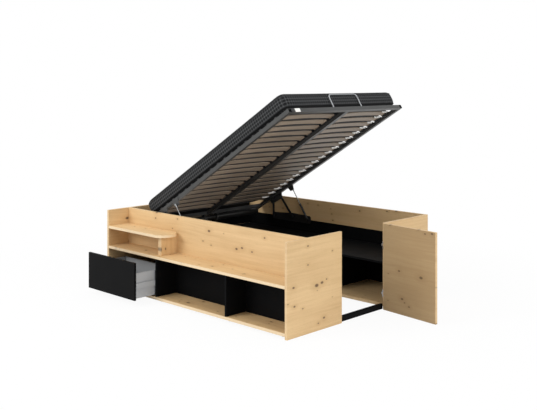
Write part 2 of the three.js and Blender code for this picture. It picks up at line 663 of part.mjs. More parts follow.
// A circle drawn with three curve segments is a hexagon.
function boltHead(side, x, z) {
  const outer = LINK_PLANE - EYE_THICKNESS / 2;
  return prismAt(side, circle(x, z, PIN_HEAD_DIAMETER / 2), outer - PIN_HEAD_THICKNESS, outer + BITE, 3);
}

function frontArm(side) {
  const foot = [FRONT_PIVOT_X, FRONT_PIVOT_Z];
  const half = ARM_THICKNESS / 2;
  const bar = prismAt(side, capsule(foot, FRONT_TOP, ARM_WIDTH), LINK_PLANE - half, LINK_PLANE + half);
  const pieces = [bar, eye(side, ...foot), eye(side, ...FRONT_TOP), openPin(side, ...FRONT_TOP)];
  pieces.push(boltHead(side, ...FRONT_TOP));
  return joined(pieces, [boreAt(side, ...foot)]);
}

const STRUT_LENGTH = Math.hypot(STRUT_TOP[0] - STRUT_PIVOT_X, STRUT_TOP[1] - STRUT_PIVOT_Z);
const STRUT_SLOPE = Math.atan2(STRUT_TOP[1] - STRUT_PIVOT_Z, STRUT_TOP[0] - STRUT_PIVOT_X);

// A revolved piece of the strut, its profile given as (radius, distance from the lower pivot).
function turnedOnStrut(side, profile) {
  const points = profile.map(([radius, along]) => new THREE.Vector2(radius, along));
  const face = side > 0 ? WALL_IN : SIDE_BOARD_IN;
  const made = new THREE.LatheGeometry(points, 16);
  made.rotateX(Math.PI / 2).rotateY(Math.PI / 2 - STRUT_SLOPE);
  return made.translate(STRUT_PIVOT_X, face - side * LINK_PLANE, STRUT_PIVOT_Z);
}

function strutCylinder(side) {
  const bore = STRUT_ROD_DIAMETER / 2 + RUNNING_FIT;
  const outer = STRUT_BODY_DIAMETER / 2;
  const tang = STRUT_TANG_DIAMETER / 2;
  const tangStart = PIN_DIAMETER / 2;
  const tangEnd = STRUT_FOOT_EYE_DIAMETER / 2 + STRUT_SHOULDER;
  const boreEnd = STRUT_LENGTH - STRUT_ROD_LENGTH - STRUT_STROKE;
  const body = turnedOnStrut(side, [
    [0, tangStart],
    [tang, tangStart],
    [tang, tangEnd],
    [outer, tangEnd + STRUT_SHOULDER],
    [outer, STRUT_BODY_LENGTH - STRUT_SHOULDER],
    [outer - STRUT_SHOULDER, STRUT_BODY_LENGTH],
    [bore, STRUT_BODY_LENGTH],
    [bore, boreEnd],
    [0, boreEnd],
  ]);
  const foot = [STRUT_PIVOT_X, STRUT_PIVOT_Z];
  return joined([body, eye(side, ...foot, STRUT_FOOT_EYE_DIAMETER)], [boreAt(side, ...foot)]);
}

function strutRod(side) {
  const radius = STRUT_ROD_DIAMETER / 2;
  const start = STRUT_LENGTH - STRUT_ROD_LENGTH;
  const rod = turnedOnStrut(side, [
    [0, start],
    [radius, start],
    [radius, STRUT_LENGTH - STRUT_EYE_DIAMETER],
    [radius + STRUT_SHOULDER, STRUT_LENGTH - STRUT_EYE_DIAMETER],
    [radius + STRUT_SHOULDER, STRUT_LENGTH],
    [0, STRUT_LENGTH],
  ]);
  const pieces = [rod, eye(side, ...STRUT_TOP, STRUT_EYE_DIAMETER), openPin(side, ...STRUT_TOP)];
  return joined([...pieces, boltHead(side, ...STRUT_TOP)]);
}

function addLift() {
  for (const [side, where] of [
    [-1, "shelf_side"],
    [1, "wall_side"],
  ]) {
    place(bed, "lift_plate_" + where, liftPlate(side), BLACK_STEEL);
    place(bed, "rear_arm_" + where, rearArm(side), BLACK_STEEL);
    place(bed, "front_arm_" + where, frontArm(side), BLACK_STEEL);
    place(bed, "strut_cylinder_" + where, strutCylinder(side), BLACK_STEEL);
    place(bed, "strut_rod_" + where, strutRod(side), CHROME);
  }
}

// Slatted base, drawn flat: x is minus the distance from the foot end, z the height above its underside.

const HALF_BASE = BASE_WIDTH / 2;
const RAIL_IN = HALF_BASE - RAIL;

function hangerPlate(side) {
  const rear = -BASE_PIVOT_FROM_FOOT;
  const front = rear + FRONT_ARM_AHEAD;
  const strut = rear + STRUT_AHEAD;
  const lap = RAIL - 2 * RAIL_WALL;
  const waist = RAIL / 4;
  const outline = polygon([
    [rear - HANGER_MARGIN, lap],
    [rear - HANGER_MARGIN, -BASE_PIVOT_DROP],
    [rear - HANGER_MARGIN / 2, -BASE_PIVOT_DROP - HANGER_MARGIN],
    [front + HANGER_MARGIN, -FRONT_ARM_DROP - HANGER_MARGIN],
    [front + 2 * HANGER_MARGIN, waist],
    [strut - 2 * HANGER_MARGIN, waist],
    [strut - HANGER_MARGIN, -STRUT_DROP - HANGER_MARGIN / 2],
    [strut + HANGER_MARGIN, -STRUT_DROP - HANGER_MARGIN / 2],
    [strut + 2 * HANGER_MARGIN, lap],
  ]);
  const y = side * (HALF_BASE - HANGER_LAP);
  const out = side * (HALF_BASE + HANGER_THICKNESS);
  return prismY(outline, Math.min(y, out), Math.max(y, out));
}

// Rails and beam are one ladder outline. Each tube's hollow is a little lower than the one it opens into.
function baseFrame() {
  const headIn = -FRAME_LENGTH + HEAD_RAIL;
  const beam = CENTRE_BEAM_WIDTH / 2;
  const ladder = rectangle(-FRAME_LENGTH, 0, -HALF_BASE, HALF_BASE);
  ladder.holes.push(rectangle(headIn, -RAIL, beam, RAIL_IN), rectangle(headIn, -RAIL, -RAIL_IN, -beam));
  const solids = [new THREE.ExtrudeGeometry(ladder, { depth: RAIL, bevelEnabled: false })];
  const hollow = (x0, x1, y0, y1, wall) => block(x0, x1, y0, y1, wall, RAIL - wall);
  const midRail = RAIL_IN + RAIL / 2;
  const crossWall = RAIL_WALL + RAIL_WALL / 4;
  const beamWall = RAIL_WALL + RAIL_WALL / 2;
  const hollows = [
    hollow(RAIL_WALL - RAIL, -RAIL_WALL, -midRail, midRail, crossWall),
    hollow(RAIL_WALL - FRAME_LENGTH, headIn - RAIL_WALL, -midRail, midRail, crossWall),
    hollow(headIn - HEAD_RAIL / 2, -RAIL / 2, RAIL_WALL - beam, beam - RAIL_WALL, beamWall),
  ];
  for (const side of [-1, 1]) {
    const walls = [side * (RAIL_IN + RAIL_WALL), side * (HALF_BASE - RAIL_WALL)];
    hollows.push(hollow(-FRAME_LENGTH - BITE, BITE, Math.min(...walls), Math.max(...walls), RAIL_WALL));
    solids.push(hangerPlate(side));
    const bore = circle(-BASE_PIVOT_FROM_FOOT, -BASE_PIVOT_DROP, PIN_DIAMETER / 2 + RUNNING_FIT);
    const ends = [side * RAIL_IN, side * (HALF_BASE + RAIL)];
    hollows.push(prismY(bore, Math.min(...ends), Math.max(...ends)));
  }
  return joined(solids, hollows);
}

// A half slat, sprung upwards between the rail and the centre beam.
function halfSlat(side, x) {
  const y0 = CENTRE_BEAM_WIDTH / 2 + SEAT_GAP;
  const y1 = RAIL_IN - SLAT_END_GAP;
  const steps = 8;
  const under = [];
  const over = [];
  for (let i = 0; i <= steps; i++) {
    const share = i / steps;
    const lift = SLAT_BOW * 4 * share * (1 - share);
    const y = side * (y0 + (y1 - y0) * share);
    under.push([y, SLAT_SEAT + lift]);
    over.unshift([y, SLAT_SEAT + SLAT_THICKNESS + lift]);
  }
  const outline = under.concat(over);
  if (side < 0) outline.reverse();
  return alongX(polygon(outline), x - SLAT_WIDTH / 2, x + SLAT_WIDTH / 2);
}

// A prism whose outline lies in YZ, from x0 to x1.
function alongX(shape, x0, x1) {
  const made = new THREE.ExtrudeGeometry(shape, { depth: x1 - x0, bevelEnabled: false });
  const turn = new THREE.Matrix4();
  turn.makeBasis(new THREE.Vector3(0, 1, 0), new THREE.Vector3(0, 0, 1), new THREE.Vector3(1, 0, 0));
  return made.applyMatrix4(turn).translate(x0, 0, 0);
}

function endClip(side, x) {
  const y0 = RAIL_IN - CLIP_LENGTH;
  const y1 = RAIL_IN - SEAT_GAP;
  const under = SLAT_SEAT - CLIP_WALL;
  const top = SLAT_SEAT + SLAT_THICKNESS + CLIP_WALL;
  const outline = [
    [side * y0, under + CLIP_WALL],
    [side * (y0 + CLIP_WALL), under],
    [side * y1, under],
    [side * y1, top],
    [side * (y0 + CLIP_WALL), top],
    [side * y0, top - CLIP_WALL / 2],
  ];
  if (side < 0) outline.reverse();
  const half = SLAT_WIDTH / 2 + CLIP_WALL;
  return alongX(polygon(outline), x - half, x + half);
}

// The centre holder sits over the beam and takes the inner ends of both half slats.
function centreSaddle(x) {
  const beam = CENTRE_BEAM_WIDTH / 2 + SEAT_GAP;
  const arm = beam + SADDLE_ARM;
  const under = SLAT_SEAT - CLIP_WALL;
  const seat = RAIL + SEAT_GAP;
  const top = seat + SADDLE_COVER;
  const outline = [
    [-arm, under],
    [-beam, under],
    [-beam, seat],
    [beam, seat],
    [beam, under],
    [arm, under],
    [arm, top],
    [-arm, top],
  ];
  const half = SLAT_WIDTH / 2 + CLIP_WALL;
  return alongX(polygon(outline), x - half, x + half);
}

function addSlats() {
  for (let row = 0; row < SLAT_ROWS; row++) {
    const x = -FIRST_SLAT_FROM_FOOT - row * SLAT_PITCH;
    const pieces = [halfSlat(-1, x), halfSlat(1, x), endClip(-1, x), endClip(1, x), centreSaddle(x)];
    place(base, "slat_row_" + String(row + 1).padStart(2, "0"), joined(pieces), BEECH);
  }
}

// Mattress: rings of the same plan outline, drawn in at mid length of each side, with a crowned top.

const MATTRESS_UNDER = SLAT_SEAT + SLAT_THICKNESS + SLAT_BOW + SEAT_GAP;

// Each ring of the crown as its share of the way in to the middle and the share of the crown still above it.
const MATTRESS_CROWN_RINGS = [
  [0.14, 0.6],
  [0.37, 0.2],
  [0.65, 0],
];

// Points round a rounded rectangle that is inset by the given amount, foot end at +x.
function mattressRing(inset, z) {
  const cornerSteps = 4;
  const sideSteps = 6;
  const corners = [
    [1, 1, MATTRESS_FOOT_CORNER],
    [-1, 1, MATTRESS_HEAD_CORNER],
    [-1, -1, MATTRESS_HEAD_CORNER],
    [1, -1, MATTRESS_FOOT_CORNER],
  ];
  const inwards = [
    [0, -1],
    [1, 0],
    [0, 1],
    [-1, 0],
  ];
  const arcs = corners.map(([sx, sy, radius], quarter) => {
    const r = Math.max(radius - inset, radius / 6);
    const centreX = sx * (MATTRESS_LENGTH / 2 - inset - r);
    const centreY = sy * (MATTRESS_WIDTH / 2 - inset - r);
    return Array.from({ length: cornerSteps + 1 }, (_, i) => {
      const angle = ((quarter + i / cornerSteps) * Math.PI) / 2;
      return [centreX + r * Math.cos(angle), centreY + r * Math.sin(angle)];
    });
  });
  return arcs.flatMap((arc, quarter) => {
    const [ax, ay] = arc[cornerSteps];
    const [bx, by] = arcs[(quarter + 1) % 4][0];
    const [inX, inY] = inwards[quarter];
    const points = arc.map(([x, y]) => [x, y, z]);
    for (let i = 1; i < sideSteps; i++) {
      const share = i / sideSteps;
      const pull = MATTRESS_DRAWN_IN * Math.sin(Math.PI * share);
      points.push([ax + (bx - ax) * share + inX * pull, ay + (by - ay) * share + inY * pull, z]);
    }
    return points;
  });
}

function mattressGeometry() {
  const h = MATTRESS_THICKNESS;
  const e = MATTRESS_EDGE;
  const c = MATTRESS_CROWN;
  const w = MATTRESS_WAIST;
  const slope = e * (1 - Math.SQRT1_2);
  const reach = MATTRESS_WIDTH / 2 - e;
  const rings = [
    mattressRing(e, 0),
    mattressRing(slope, slope),
    mattressRing(0, e),
    mattressRing(w, h / 2),
    mattressRing(0, h - c - e),
    mattressRing(slope, h - c - slope),
    mattressRing(e, h - c),
    ...MATTRESS_CROWN_RINGS.map(([inwards, below]) => mattressRing(e + inwards * reach, h - c * below)),
  ];
  const count = rings[0].length;
  const positions = rings.flat(2);
  positions.push(0, 0, 0, 0, 0, h);
  const under = rings.length * count;
  const top = under + 1;
  const faces = [];
  for (let i = 0; i < count; i++) {
    const next = (i + 1) % count;
    faces.push(under, next, i);
    const last = (rings.length - 1) * count;
    faces.push(top, last + i, last + next);
    for (let level = 0; level + 1 < rings.length; level++) {
      const low = level * count;
      const high = low + count;
      faces.push(low + i, low + next, high + next, low + i, high + next, high + i);
    }
  }
  const geometry = new THREE.BufferGeometry();
  geometry.setAttribute("position", new THREE.Float32BufferAttribute(positions, 3));
  geometry.setIndex(faces);
  geometry.computeVertexNormals();
  return geometry.translate(-MATTRESS_FROM_FOOT - MATTRESS_LENGTH / 2, 0, MATTRESS_UNDER);
}

// The stop is one bent rod, its feet on the foot rail.
function mattressStop() {
  const half = STOP_WIDTH / 2;
  const x = -STOP_ROD / 2;
  const low = RAIL + SEAT_GAP;
  const high = RAIL + STOP_HEIGHT;
  const beforeBend = high - STOP_BEND;
  const at = (y, z) => new THREE.Vector3(x, y, z);
  const path = new THREE.CurvePath();
  path.add(new THREE.LineCurve3(at(-half, low), at(-half, beforeBend)));
  const afterBend = half - STOP_BEND;
  path.add(new THREE.QuadraticBezierCurve3(at(-half, beforeBend), at(-half, high), at(-afterBend, high)));
  path.add(new THREE.LineCurve3(at(-afterBend, high), at(afterBend, high)));
  path.add(new THREE.QuadraticBezierCurve3(at(afterBend, high), at(half, high), at(half, beforeBend)));
  path.add(new THREE.LineCurve3(at(half, beforeBend), at(half, low)));
  const section = circle(0, 0, STOP_ROD / 2);
  return new THREE.ExtrudeGeometry(section, { extrudePath: path, steps: 44, curveSegments: 5 });
}

function addBase() {
  base.position.set(BASE_X, BASE_CENTRE_Y, BASE_Z);
  base.rotation.y = -LIFT_ANGLE * RAD;
  place(base, "base_frame", baseFrame(), BLACK_STEEL);
  addSlats();
  place(base, "mattress", mattressGeometry(), TICKING);
  place(base, "mattress_stop", mattressStop(), CHROME);
}

addEndPanels();
addSideBoards();
addShelfUnit();
addUpperShelf();
addWallUnit();
addRunners();
addDrawer();
addHinges();
addDoor();
addLift();
addBase();

export default bed;
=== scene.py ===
"""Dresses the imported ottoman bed: boards, slatted base, lift, drawer and mattress, with the studio around it.

Lengths are metres in the bed's own frame: +X towards the foot, +Y towards the wall side, +Z up.
"""

import json
import math

import bmesh
import bpy
from bpy.props import FloatProperty, FloatVectorProperty, IntProperty, PointerProperty
from mathutils import Matrix, Vector
from mathutils.bvhtree import BVHTree


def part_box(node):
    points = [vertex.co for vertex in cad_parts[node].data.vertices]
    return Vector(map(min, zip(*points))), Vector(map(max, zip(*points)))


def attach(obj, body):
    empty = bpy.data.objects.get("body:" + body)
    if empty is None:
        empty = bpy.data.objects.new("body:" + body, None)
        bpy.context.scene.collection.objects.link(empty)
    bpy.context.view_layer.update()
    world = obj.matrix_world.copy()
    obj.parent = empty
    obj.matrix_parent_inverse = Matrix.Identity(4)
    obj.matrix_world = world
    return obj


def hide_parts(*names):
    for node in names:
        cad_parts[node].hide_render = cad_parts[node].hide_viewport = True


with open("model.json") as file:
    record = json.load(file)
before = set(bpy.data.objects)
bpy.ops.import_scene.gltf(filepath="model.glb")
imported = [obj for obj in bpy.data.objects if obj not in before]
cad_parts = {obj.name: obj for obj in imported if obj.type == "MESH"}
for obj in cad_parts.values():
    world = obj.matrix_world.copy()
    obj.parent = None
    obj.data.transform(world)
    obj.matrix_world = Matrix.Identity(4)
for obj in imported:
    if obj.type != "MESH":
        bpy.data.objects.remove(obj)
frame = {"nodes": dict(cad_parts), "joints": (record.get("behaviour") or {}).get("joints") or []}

bl_info = {
    "name": "Ottoman bed",
    "version": (1, 0, 0),
    "blender": (4, 5, 0),
    "location": "View3D > Sidebar > Bed",
    "description": "Finishes, mattress and fittings of an ottoman bed with shelves, drawer and door",
    "category": "Object",
}

# The slatted base at rest
LIFT_ANGLE = math.radians(31.1)
PIVOT_FROM_FOOT = 1.742
PIVOT_DROP = 0.015
HALF_BASE = 0.680
RAIL = 0.030
SLAT_ROWS = 19
SLAT_PITCH = 0.0897
FIRST_SLAT = 0.148
CLIP_EDGE = 0.0305
CLIP_START = 0.616
WALL_LIP = 0.088
SHELF_LIP = 0.055
SADDLE_END = 0.0503
HEAD_RAIL_MIDDLE = -1.895

# Fittings on the flat base: heights above its underside, places across it, and boxes from corner to corner
# Black blocks of painted shade on the side rails' tops, one at each slat row
SHADE_BLOCK_LENGTH = 0.026
SHADE_BLOCK_WIDTH = 0.016
SHADE_BLOCK_HEIGHTS = (RAIL - 0.001, RAIL + 0.012)
LIP_THICKNESS = 0.0065
LIP_PROUD = 0.003
LIP_HEIGHTS = (RAIL - 0.004, RAIL + 0.009)
LIP_TAIL = 0.022
TAIL_HEIGHTS = (RAIL - 0.001, RAIL + 0.006)
CORNER_JOINT = ((-0.012, -0.652, 0.001), (0.003, -0.613, 0.030))
CORNER_CAP = ((-0.010, -0.611, 0.001), (0.002, -0.557, 0.030))
THICK_TUBE = (0.080, 0.600)
THIN_TUBE = (-0.600, 0.090)
TUBE_COLLAR = (0.070, 0.100)
TUBE_CLAMPS = (-0.520, -0.060)
CLAMP_WIDTH = 0.028
CLAMP_WALL = 0.004
LINK_DIAMETER = 0.012

# The mattress on the base
MATTRESS_FOOT_GAP = 0.012
MATTRESS_LENGTH = 1.880
MATTRESS_WIDTH = 1.350
MATTRESS_UNDER = 0.0463
MATTRESS_HEIGHT = 0.132
FOOT_CORNER = 0.055
HEAD_CORNER = 0.115
EDGE_ROUND = 0.038
UPPER_TAPE = 0.028
LOWER_TAPE = 0.020
CORNER_STEPS = 10
COVER_VOXEL = 0.018
FILLING_PRESSURE = 4.0
FILLING_STEPS = 20
QUILT_DEPTH = 0.007
QUILT_MARGIN = 0.03
QUILT_FADE = 0.09

# The door at rest, and the black sheet of painted shade on the head panel's inner face
DOOR_TURN = math.radians(83)
HEAD_INNER_FACE = 0.011
SHADE_SHEET_DROP = 0.090
SHADE_SHEET_GAP = 0.002
SCREWS_IN_ROW = 7
SCREW_HEIGHT = 0.0016
SCREW_SIDE_MARGIN = 0.03
SCREW_EDGE_MARGIN = 0.02

# Oak: how far knots are drawn out along the grain, the distance that stands for no knot, the cosine from
# which a face counts as facing a way, and how far the pale edge shows on shelf edges, where it is edge band and
# painted highlight, and on panel edges
KNOT_SQUEEZE = 0.62
NO_KNOT = 9.0
FACES_ALIKE = 0.7
PALE_SHELF_EDGES = 0.7
PALE_PANEL_EDGES = 0.15

# The light from all round, and the floor's share of plain white, which grows away from the bed's shadow
WORLD_LEVEL = 0.52
SHADOW_MIDDLE = (1.0, 0, 0)
SHADOW_FADE = (1.4, 3.2)
WHITE_NEAR_BED = 0.93


def base_matrix():
    """Moves what is drawn on the flat base, with x counted back from its foot end, to its place at rest."""
    pivot = next(Vector(j["pos_m"]) for j in frame["joints"] if j["name"] == "base_hinge")
    turn = Matrix.Rotation(-LIFT_ANGLE, 4, "Y")
    foot = pivot + turn @ Vector((PIVOT_FROM_FOOT, 0, PIVOT_DROP))
    return Matrix.Translation(foot) @ turn


BASE = base_matrix()


class BedColours(bpy.types.PropertyGroup):
    """The finishes that a user would change."""

    oak_light: FloatVectorProperty(
        name="Oak, light",
        description="Lighter wood between the streaks of the oak boards",
        subtype="COLOR",
        default=(0.762, 0.540, 0.284),
        min=0,
        max=1,
    )
    oak_dark: FloatVectorProperty(
        name="Oak, dark",
        description="Streaks of the oak boards",
        subtype="COLOR",
        default=(0.568, 0.360, 0.168),
        min=0,
        max=1,
    )
    # Pale edge colour: an edge band, and on the shelves' front edges a painted highlight as well
    edge_band_and_highlight: FloatVectorProperty(
        name="Oak, edges",
        description="Edge band of the oak boards",
        subtype="COLOR",
        default=(0.86, 0.70, 0.48),
        min=0,
        max=1,
    )
    knot: FloatVectorProperty(
        name="Knots",
        description="Heart of the knots in the oak",
        subtype="COLOR",
        default=(0.075, 0.036, 0.016),
        min=0,
        max=1,
    )
    black_board: FloatVectorProperty(
        name="Black board",
        description="Black melamine of the inner panels",
        subtype="COLOR",
        default=(0.0042, 0.0044, 0.0048),
        min=0,
        max=1,
    )
    drawer_front: FloatVectorProperty(
        name="Drawer front",
        description="Charcoal lacquer of the drawer front",
        subtype="COLOR",
        default=(0.0035, 0.0035, 0.0037),
        min=0,
        max=1,
    )
    drawer_box: FloatVectorProperty(
        name="Drawer box",
        description="Grey board of the drawer's sides, back and bottom",
        subtype="COLOR",
        default=(0.40, 0.41, 0.42),
        min=0,
        max=1,
    )
    frame_steel: FloatVectorProperty(
        name="Frame steel",
        description="Powder coat of the slatted base's frame",
        subtype="COLOR",
        default=(0.050, 0.051, 0.050),
        min=0,
        max=1,
    )
    lift_steel: FloatVectorProperty(
        name="Lift steel",
        description="Powder coat of the lift's plates, arms and struts",
        subtype="COLOR",
        default=(0.010, 0.010, 0.011),
        min=0,
        max=1,
    )
    slat: FloatVectorProperty(
        name="Slats",
        description="Laminated wood of the slats",
        subtype="COLOR",
        default=(0.37, 0.295, 0.225),
        min=0,
        max=1,
    )
    clip: FloatVectorProperty(
        name="White plastic",
        description="Lips of the slats' end clips and the cap on the foot rail",
        subtype="COLOR",
        default=(0.92, 0.91, 0.87),
        min=0,
        max=1,
    )
    ticking: FloatVectorProperty(
        name="Ticking, ground",
        description="Ground of the mattress cover",
        subtype="COLOR",
        default=(0.0042, 0.0046, 0.0054),
        min=0,
        max=1,
    )
    check: FloatVectorProperty(
        name="Ticking, check",
        description="Light check woven into the mattress cover",
        subtype="COLOR",
        default=(0.090, 0.093, 0.096),
        min=0,
        max=1,
    )


class BedSizes(bpy.types.PropertyGroup):
    """The sizes of what this script adds to the frame."""

    piping: FloatProperty(
        name="Piping",
        description="Thickness of the cord sewn along the mattress edges",
        default=0.0075,
        unit="LENGTH",
    )
    check_pitch: FloatProperty(
        name="Check pitch",
        description="Distance between the lines of the cover's check",
        default=0.0245,
        unit="LENGTH",
    )
    quilt_pitch: FloatProperty(
        name="Quilt pitch",
        description="Distance between the cover's crossed sewn lines, counted along the bed",
        default=0.170,
        unit="LENGTH",
    )
    swell: FloatProperty(
        name="Swell",
        description="The most that the filling may move a point of the cover",
        default=0.006,
        unit="LENGTH",
    )
    spring_tube: FloatProperty(
        name="Spring tube",
        description="Diameter of the thick half of the tube under the head rail",
        default=0.057,
        unit="LENGTH",
    )
    torsion_bar: FloatProperty(
        name="Torsion bar",
        description="Diameter of the thin half of the tube under the head rail",
        default=0.034,
        unit="LENGTH",
    )
    # The black sheet on the head panel's inner face is painted shade for the dark under the raised base
    head_lining: FloatProperty(
        name="Head lining",
        description="Thickness of the black sheet on the head panel's inner face",
        default=0.006,
        unit="LENGTH",
    )
    screw_diameter: FloatProperty(
        name="Screw head",
        description="Diameter of the screw heads in the head lining",
        default=0.009,
        unit="LENGTH",
    )
    smoothing: IntProperty(
        name="Rod smoothing",
        description="Sides of the added bars and screw heads",
        default=24,
        min=8,
    )


# Node trees


def node(tree, kind, inputs=None, **settings):
    """A new node with its settings made and its inputs linked or set."""
    made = tree.nodes.new(kind)
    for name, value in settings.items():
        setattr(made, name, value)
    for key, value in (inputs or {}).items():
        if isinstance(value, bpy.types.NodeSocket):
            tree.links.new(value, made.inputs[key])
        else:
            made.inputs[key].default_value = value
    return made


def maths(tree, operation, a, b=0.0):
    return node(tree, "ShaderNodeMath", {0: a, 1: b}, operation=operation).outputs[0]


def vectors(tree, operation, a, b=(0, 0, 0)):
    made = node(tree, "ShaderNodeVectorMath", {0: a, 1: b}, operation=operation)
    return made.outputs["Value" if operation in {"DOT_PRODUCT", "LENGTH"} else "Vector"]


def mixed(tree, factor, a, b):
    return node(tree, "ShaderNodeMix", {0: factor, 6: a, 7: b}, data_type="RGBA").outputs[2]


def spread(tree, value, low, high, to_low=0.0, to_high=1.0):
    """A value clamped to one range and stretched over another."""
    sockets = {"Value": value, "From Min": low, "From Max": high, "To Min": to_low, "To Max": to_high}
    return node(tree, "ShaderNodeMapRange", sockets).outputs[0]


def noise(tree, vector, stretch, detail=3.0, roughness=0.5):
    """Noise with its own number of waves to the metre along each axis."""
    scaled = vectors(tree, "MULTIPLY", vector, stretch)
    sockets = {"Vector": scaled, "Scale": 1.0, "Detail": detail, "Roughness": roughness}
    return node(tree, "ShaderNodeTexNoise", sockets).outputs[0]


def group(name, inputs, outputs):
    """A new node group with its input and output nodes."""
    tree = bpy.data.node_groups.new(name, "ShaderNodeTree")
    for direction, sockets in (("INPUT", inputs), ("OUTPUT", outputs)):
        for socket, kind, value in sockets:
            made = tree.interface.new_socket(name=socket, in_out=direction, socket_type="NodeSocket" + kind)
            if value is not None:
                made.default_value = value
    return tree, tree.nodes.new("NodeGroupInput"), tree.nodes.new("NodeGroupOutput")


def knots(tree, vector, cells, size, chance):
    """How far a point lies from its cell's knot, in knot radii, and 9 or more where the cell has none."""
    scaled = vectors(tree, "MULTIPLY", vector, (*cells, 0))
    cell = node(tree, "ShaderNodeTexVoronoi", {"Vector": scaled, "Scale": 1.0}, voronoi_dimensions="2D")
    away = vectors(tree, "SUBTRACT", scaled, cell.outputs["Position"])
    reach = vectors(tree, "MULTIPLY", away, (KNOT_SQUEEZE / cells[0] / size, 1 / cells[1] / size, 0))
    chosen = node(tree, "ShaderNodeSeparateColor", {0: cell.outputs["Color"]})
    scale = spread(tree, chosen.outputs[1], 0, 1, 0.45, 1.2)
    radii = maths(tree, "DIVIDE", vectors(tree, "LENGTH", reach), scale)
    none = maths(tree, "GREATER_THAN", chosen.outputs[0], chance)
    return maths(tree, "ADD", radii, maths(tree, "MULTIPLY", none, NO_KNOT))


def placed_knots(tree, board, spots):
    """How many knot radii a point lies from the nearest knot, each given by two places and its radius."""
    nearest = NO_KNOT
    for along, across, radius in spots:
        away = vectors(tree, "SUBTRACT", board, (along, across, 0))
        reach = vectors(tree, "MULTIPLY", away, (KNOT_SQUEEZE / radius, 1 / radius, 0))
        nearest = maths(tree, "MINIMUM", vectors(tree, "LENGTH", reach), nearest)
    return nearest


def oak_group():
    """Knotty oak decor, drawn on a plane whose first axis runs along the grain."""
    tree, given, result = group(
        "Knotty oak",
        [
            ("Vector", "Vector", None),
            ("Light", "Color", None),
            ("Dark", "Color", None),
            ("Knot", "Color", None),
            ("Placed knot", "Float", NO_KNOT),
            ("Scattered knots", "Float", 0.36),
        ],
        [("Color", "Color", None), ("Roughness", "Float", None), ("Height", "Float", None)],
    )
    plane, chance = given.outputs["Vector"], given.outputs["Scattered knots"]
    # Knots with a dark heart and a halo that bends the grain round them
    large = knots(tree, plane, (2.6, 7.0), 0.0115, chance)
    small = knots(tree, vectors(tree, "ADD", plane, (5.3, 2.1, 0)), (6.5, 14.0), 0.0045, chance)
    scattered = maths(tree, "MINIMUM", large, small)
    nearest = maths(tree, "MINIMUM", scattered, given.outputs["Placed knot"])
    halo = spread(tree, nearest, 1.0, 4.2, 1.0, 0.0)
    heart = spread(tree, nearest, 0.55, 1.15, 1.0, 0.0)
    wander = spread(tree, noise(tree, plane, (1.4, 5.0, 1.0), 2.0), 0, 1, -0.03, 0.03)
    bend = maths(tree, "ADD", wander, maths(tree, "MULTIPLY", halo, 0.012))
    shift = node(tree, "ShaderNodeCombineXYZ", {1: bend}).outputs[0]
    grain = vectors(tree, "ADD", plane, shift)
    # Fine lines, streaks and broad bands of the grain, stronger in some patches than in others
    fine = noise(tree, grain, (5.0, 190.0, 1.0), 5.0, 0.6)
    middle = noise(tree, grain, (1.8, 46.0, 1.0), 3.0)
    broad = noise(tree, grain, (0.9, 8.0, 1.0), 2.0)
    patches = noise(tree, plane, (2.0, 3.2, 1.0), 2.0)
    streaks = maths(
        tree,
        "ADD",
        maths(tree, "MULTIPLY", spread(tree, fine, 0.34, 0.70), 0.24),
        maths(
            tree,
            "ADD",
            maths(tree, "MULTIPLY", spread(tree, middle, 0.36, 0.68), 0.34),
            maths(tree, "MULTIPLY", spread(tree, broad, 0.38, 0.66), 0.34),
        ),
    )
    tone = maths(tree, "MULTIPLY", streaks, spread(tree, patches, 0.3, 0.7, 0.55, 1.15))
    wood = mixed(tree, tone, given.outputs["Light"], given.outputs["Dark"])
    ringed = mixed(tree, maths(tree, "MULTIPLY", halo, 0.55), wood, given.outputs["Dark"])
    knotted = mixed(tree, maths(tree, "MULTIPLY", heart, 0.86), ringed, given.outputs["Knot"])
    # Short dark pores, sunk a little like the knots
    pores = spread(tree, noise(tree, grain, (26.0, 900.0, 1.0), 2.0), 0.60, 0.72)
    height = maths(tree, "SUBTRACT", fine, maths(tree, "MULTIPLY", pores, 0.6))
    pored = mixed(tree, maths(tree, "MULTIPLY", pores, 0.22), knotted, given.outputs["Knot"])
    tree.links.new(pored, result.inputs[0])
    tree.links.new(spread(tree, fine, 0.3, 0.7, 0.50, 0.64), result.inputs[1])
    tree.links.new(maths(tree, "SUBTRACT", height, maths(tree, "MULTIPLY", heart, 0.8)), result.inputs[2])
    return tree


def surface_group():
    """Slow cloudiness and fine unevenness that paint, lacquer, plastic and metal share."""
    tree, given, result = group(
        "Surface unevenness",
        [("Vector", "Vector", None), ("Size", "Float", 0.004)],
        [("Cloud", "Float", None), ("Height", "Float", None)],
    )
    scale = maths(tree, "DIVIDE", 1.0, given.outputs["Size"])
    sockets = {"Vector": given.outputs["Vector"], "Scale": scale, "Detail": 2.0}
    grit = node(tree, "ShaderNodeTexNoise", sockets).outputs[0]
    cloud = noise(tree, given.outputs["Vector"], (5.0, 5.0, 5.0), 3.0)
    tree.links.new(spread(tree, cloud, 0.3, 0.7), result.inputs[0])
    tree.links.new(grit, result.inputs[1])
    return tree


def shared(name, make):
    """The node group of that name, made once."""
    return bpy.data.node_groups.get(name) or make()


def material(name, metallic=0.0, **plain):
    """A material, its tree and its shader, with plain numbers set on the shader's own sockets."""
    made = bpy.data.materials.new(name)
    made.use_nodes = True
    tree = made.node_tree
    shader = tree.nodes["Principled BSDF"]
    shader.inputs["Metallic"].default_value = metallic
    for socket, value in plain.items():
        shader.inputs[socket.replace("_", " ")].default_value = value
    return made, tree, shader


def place_of(tree):
    """Where a point lies on its piece, in metres."""
    return node(tree, "ShaderNodeTexCoord").outputs["Object"]


def bumped(tree, shader, height, strength, distance):
    """Gives a shader its relief from a height."""
    sockets = {"Height": height, "Strength": strength, "Distance": distance}
    tree.links.new(node(tree, "ShaderNodeBump", sockets).outputs[0], shader.inputs["Normal"])


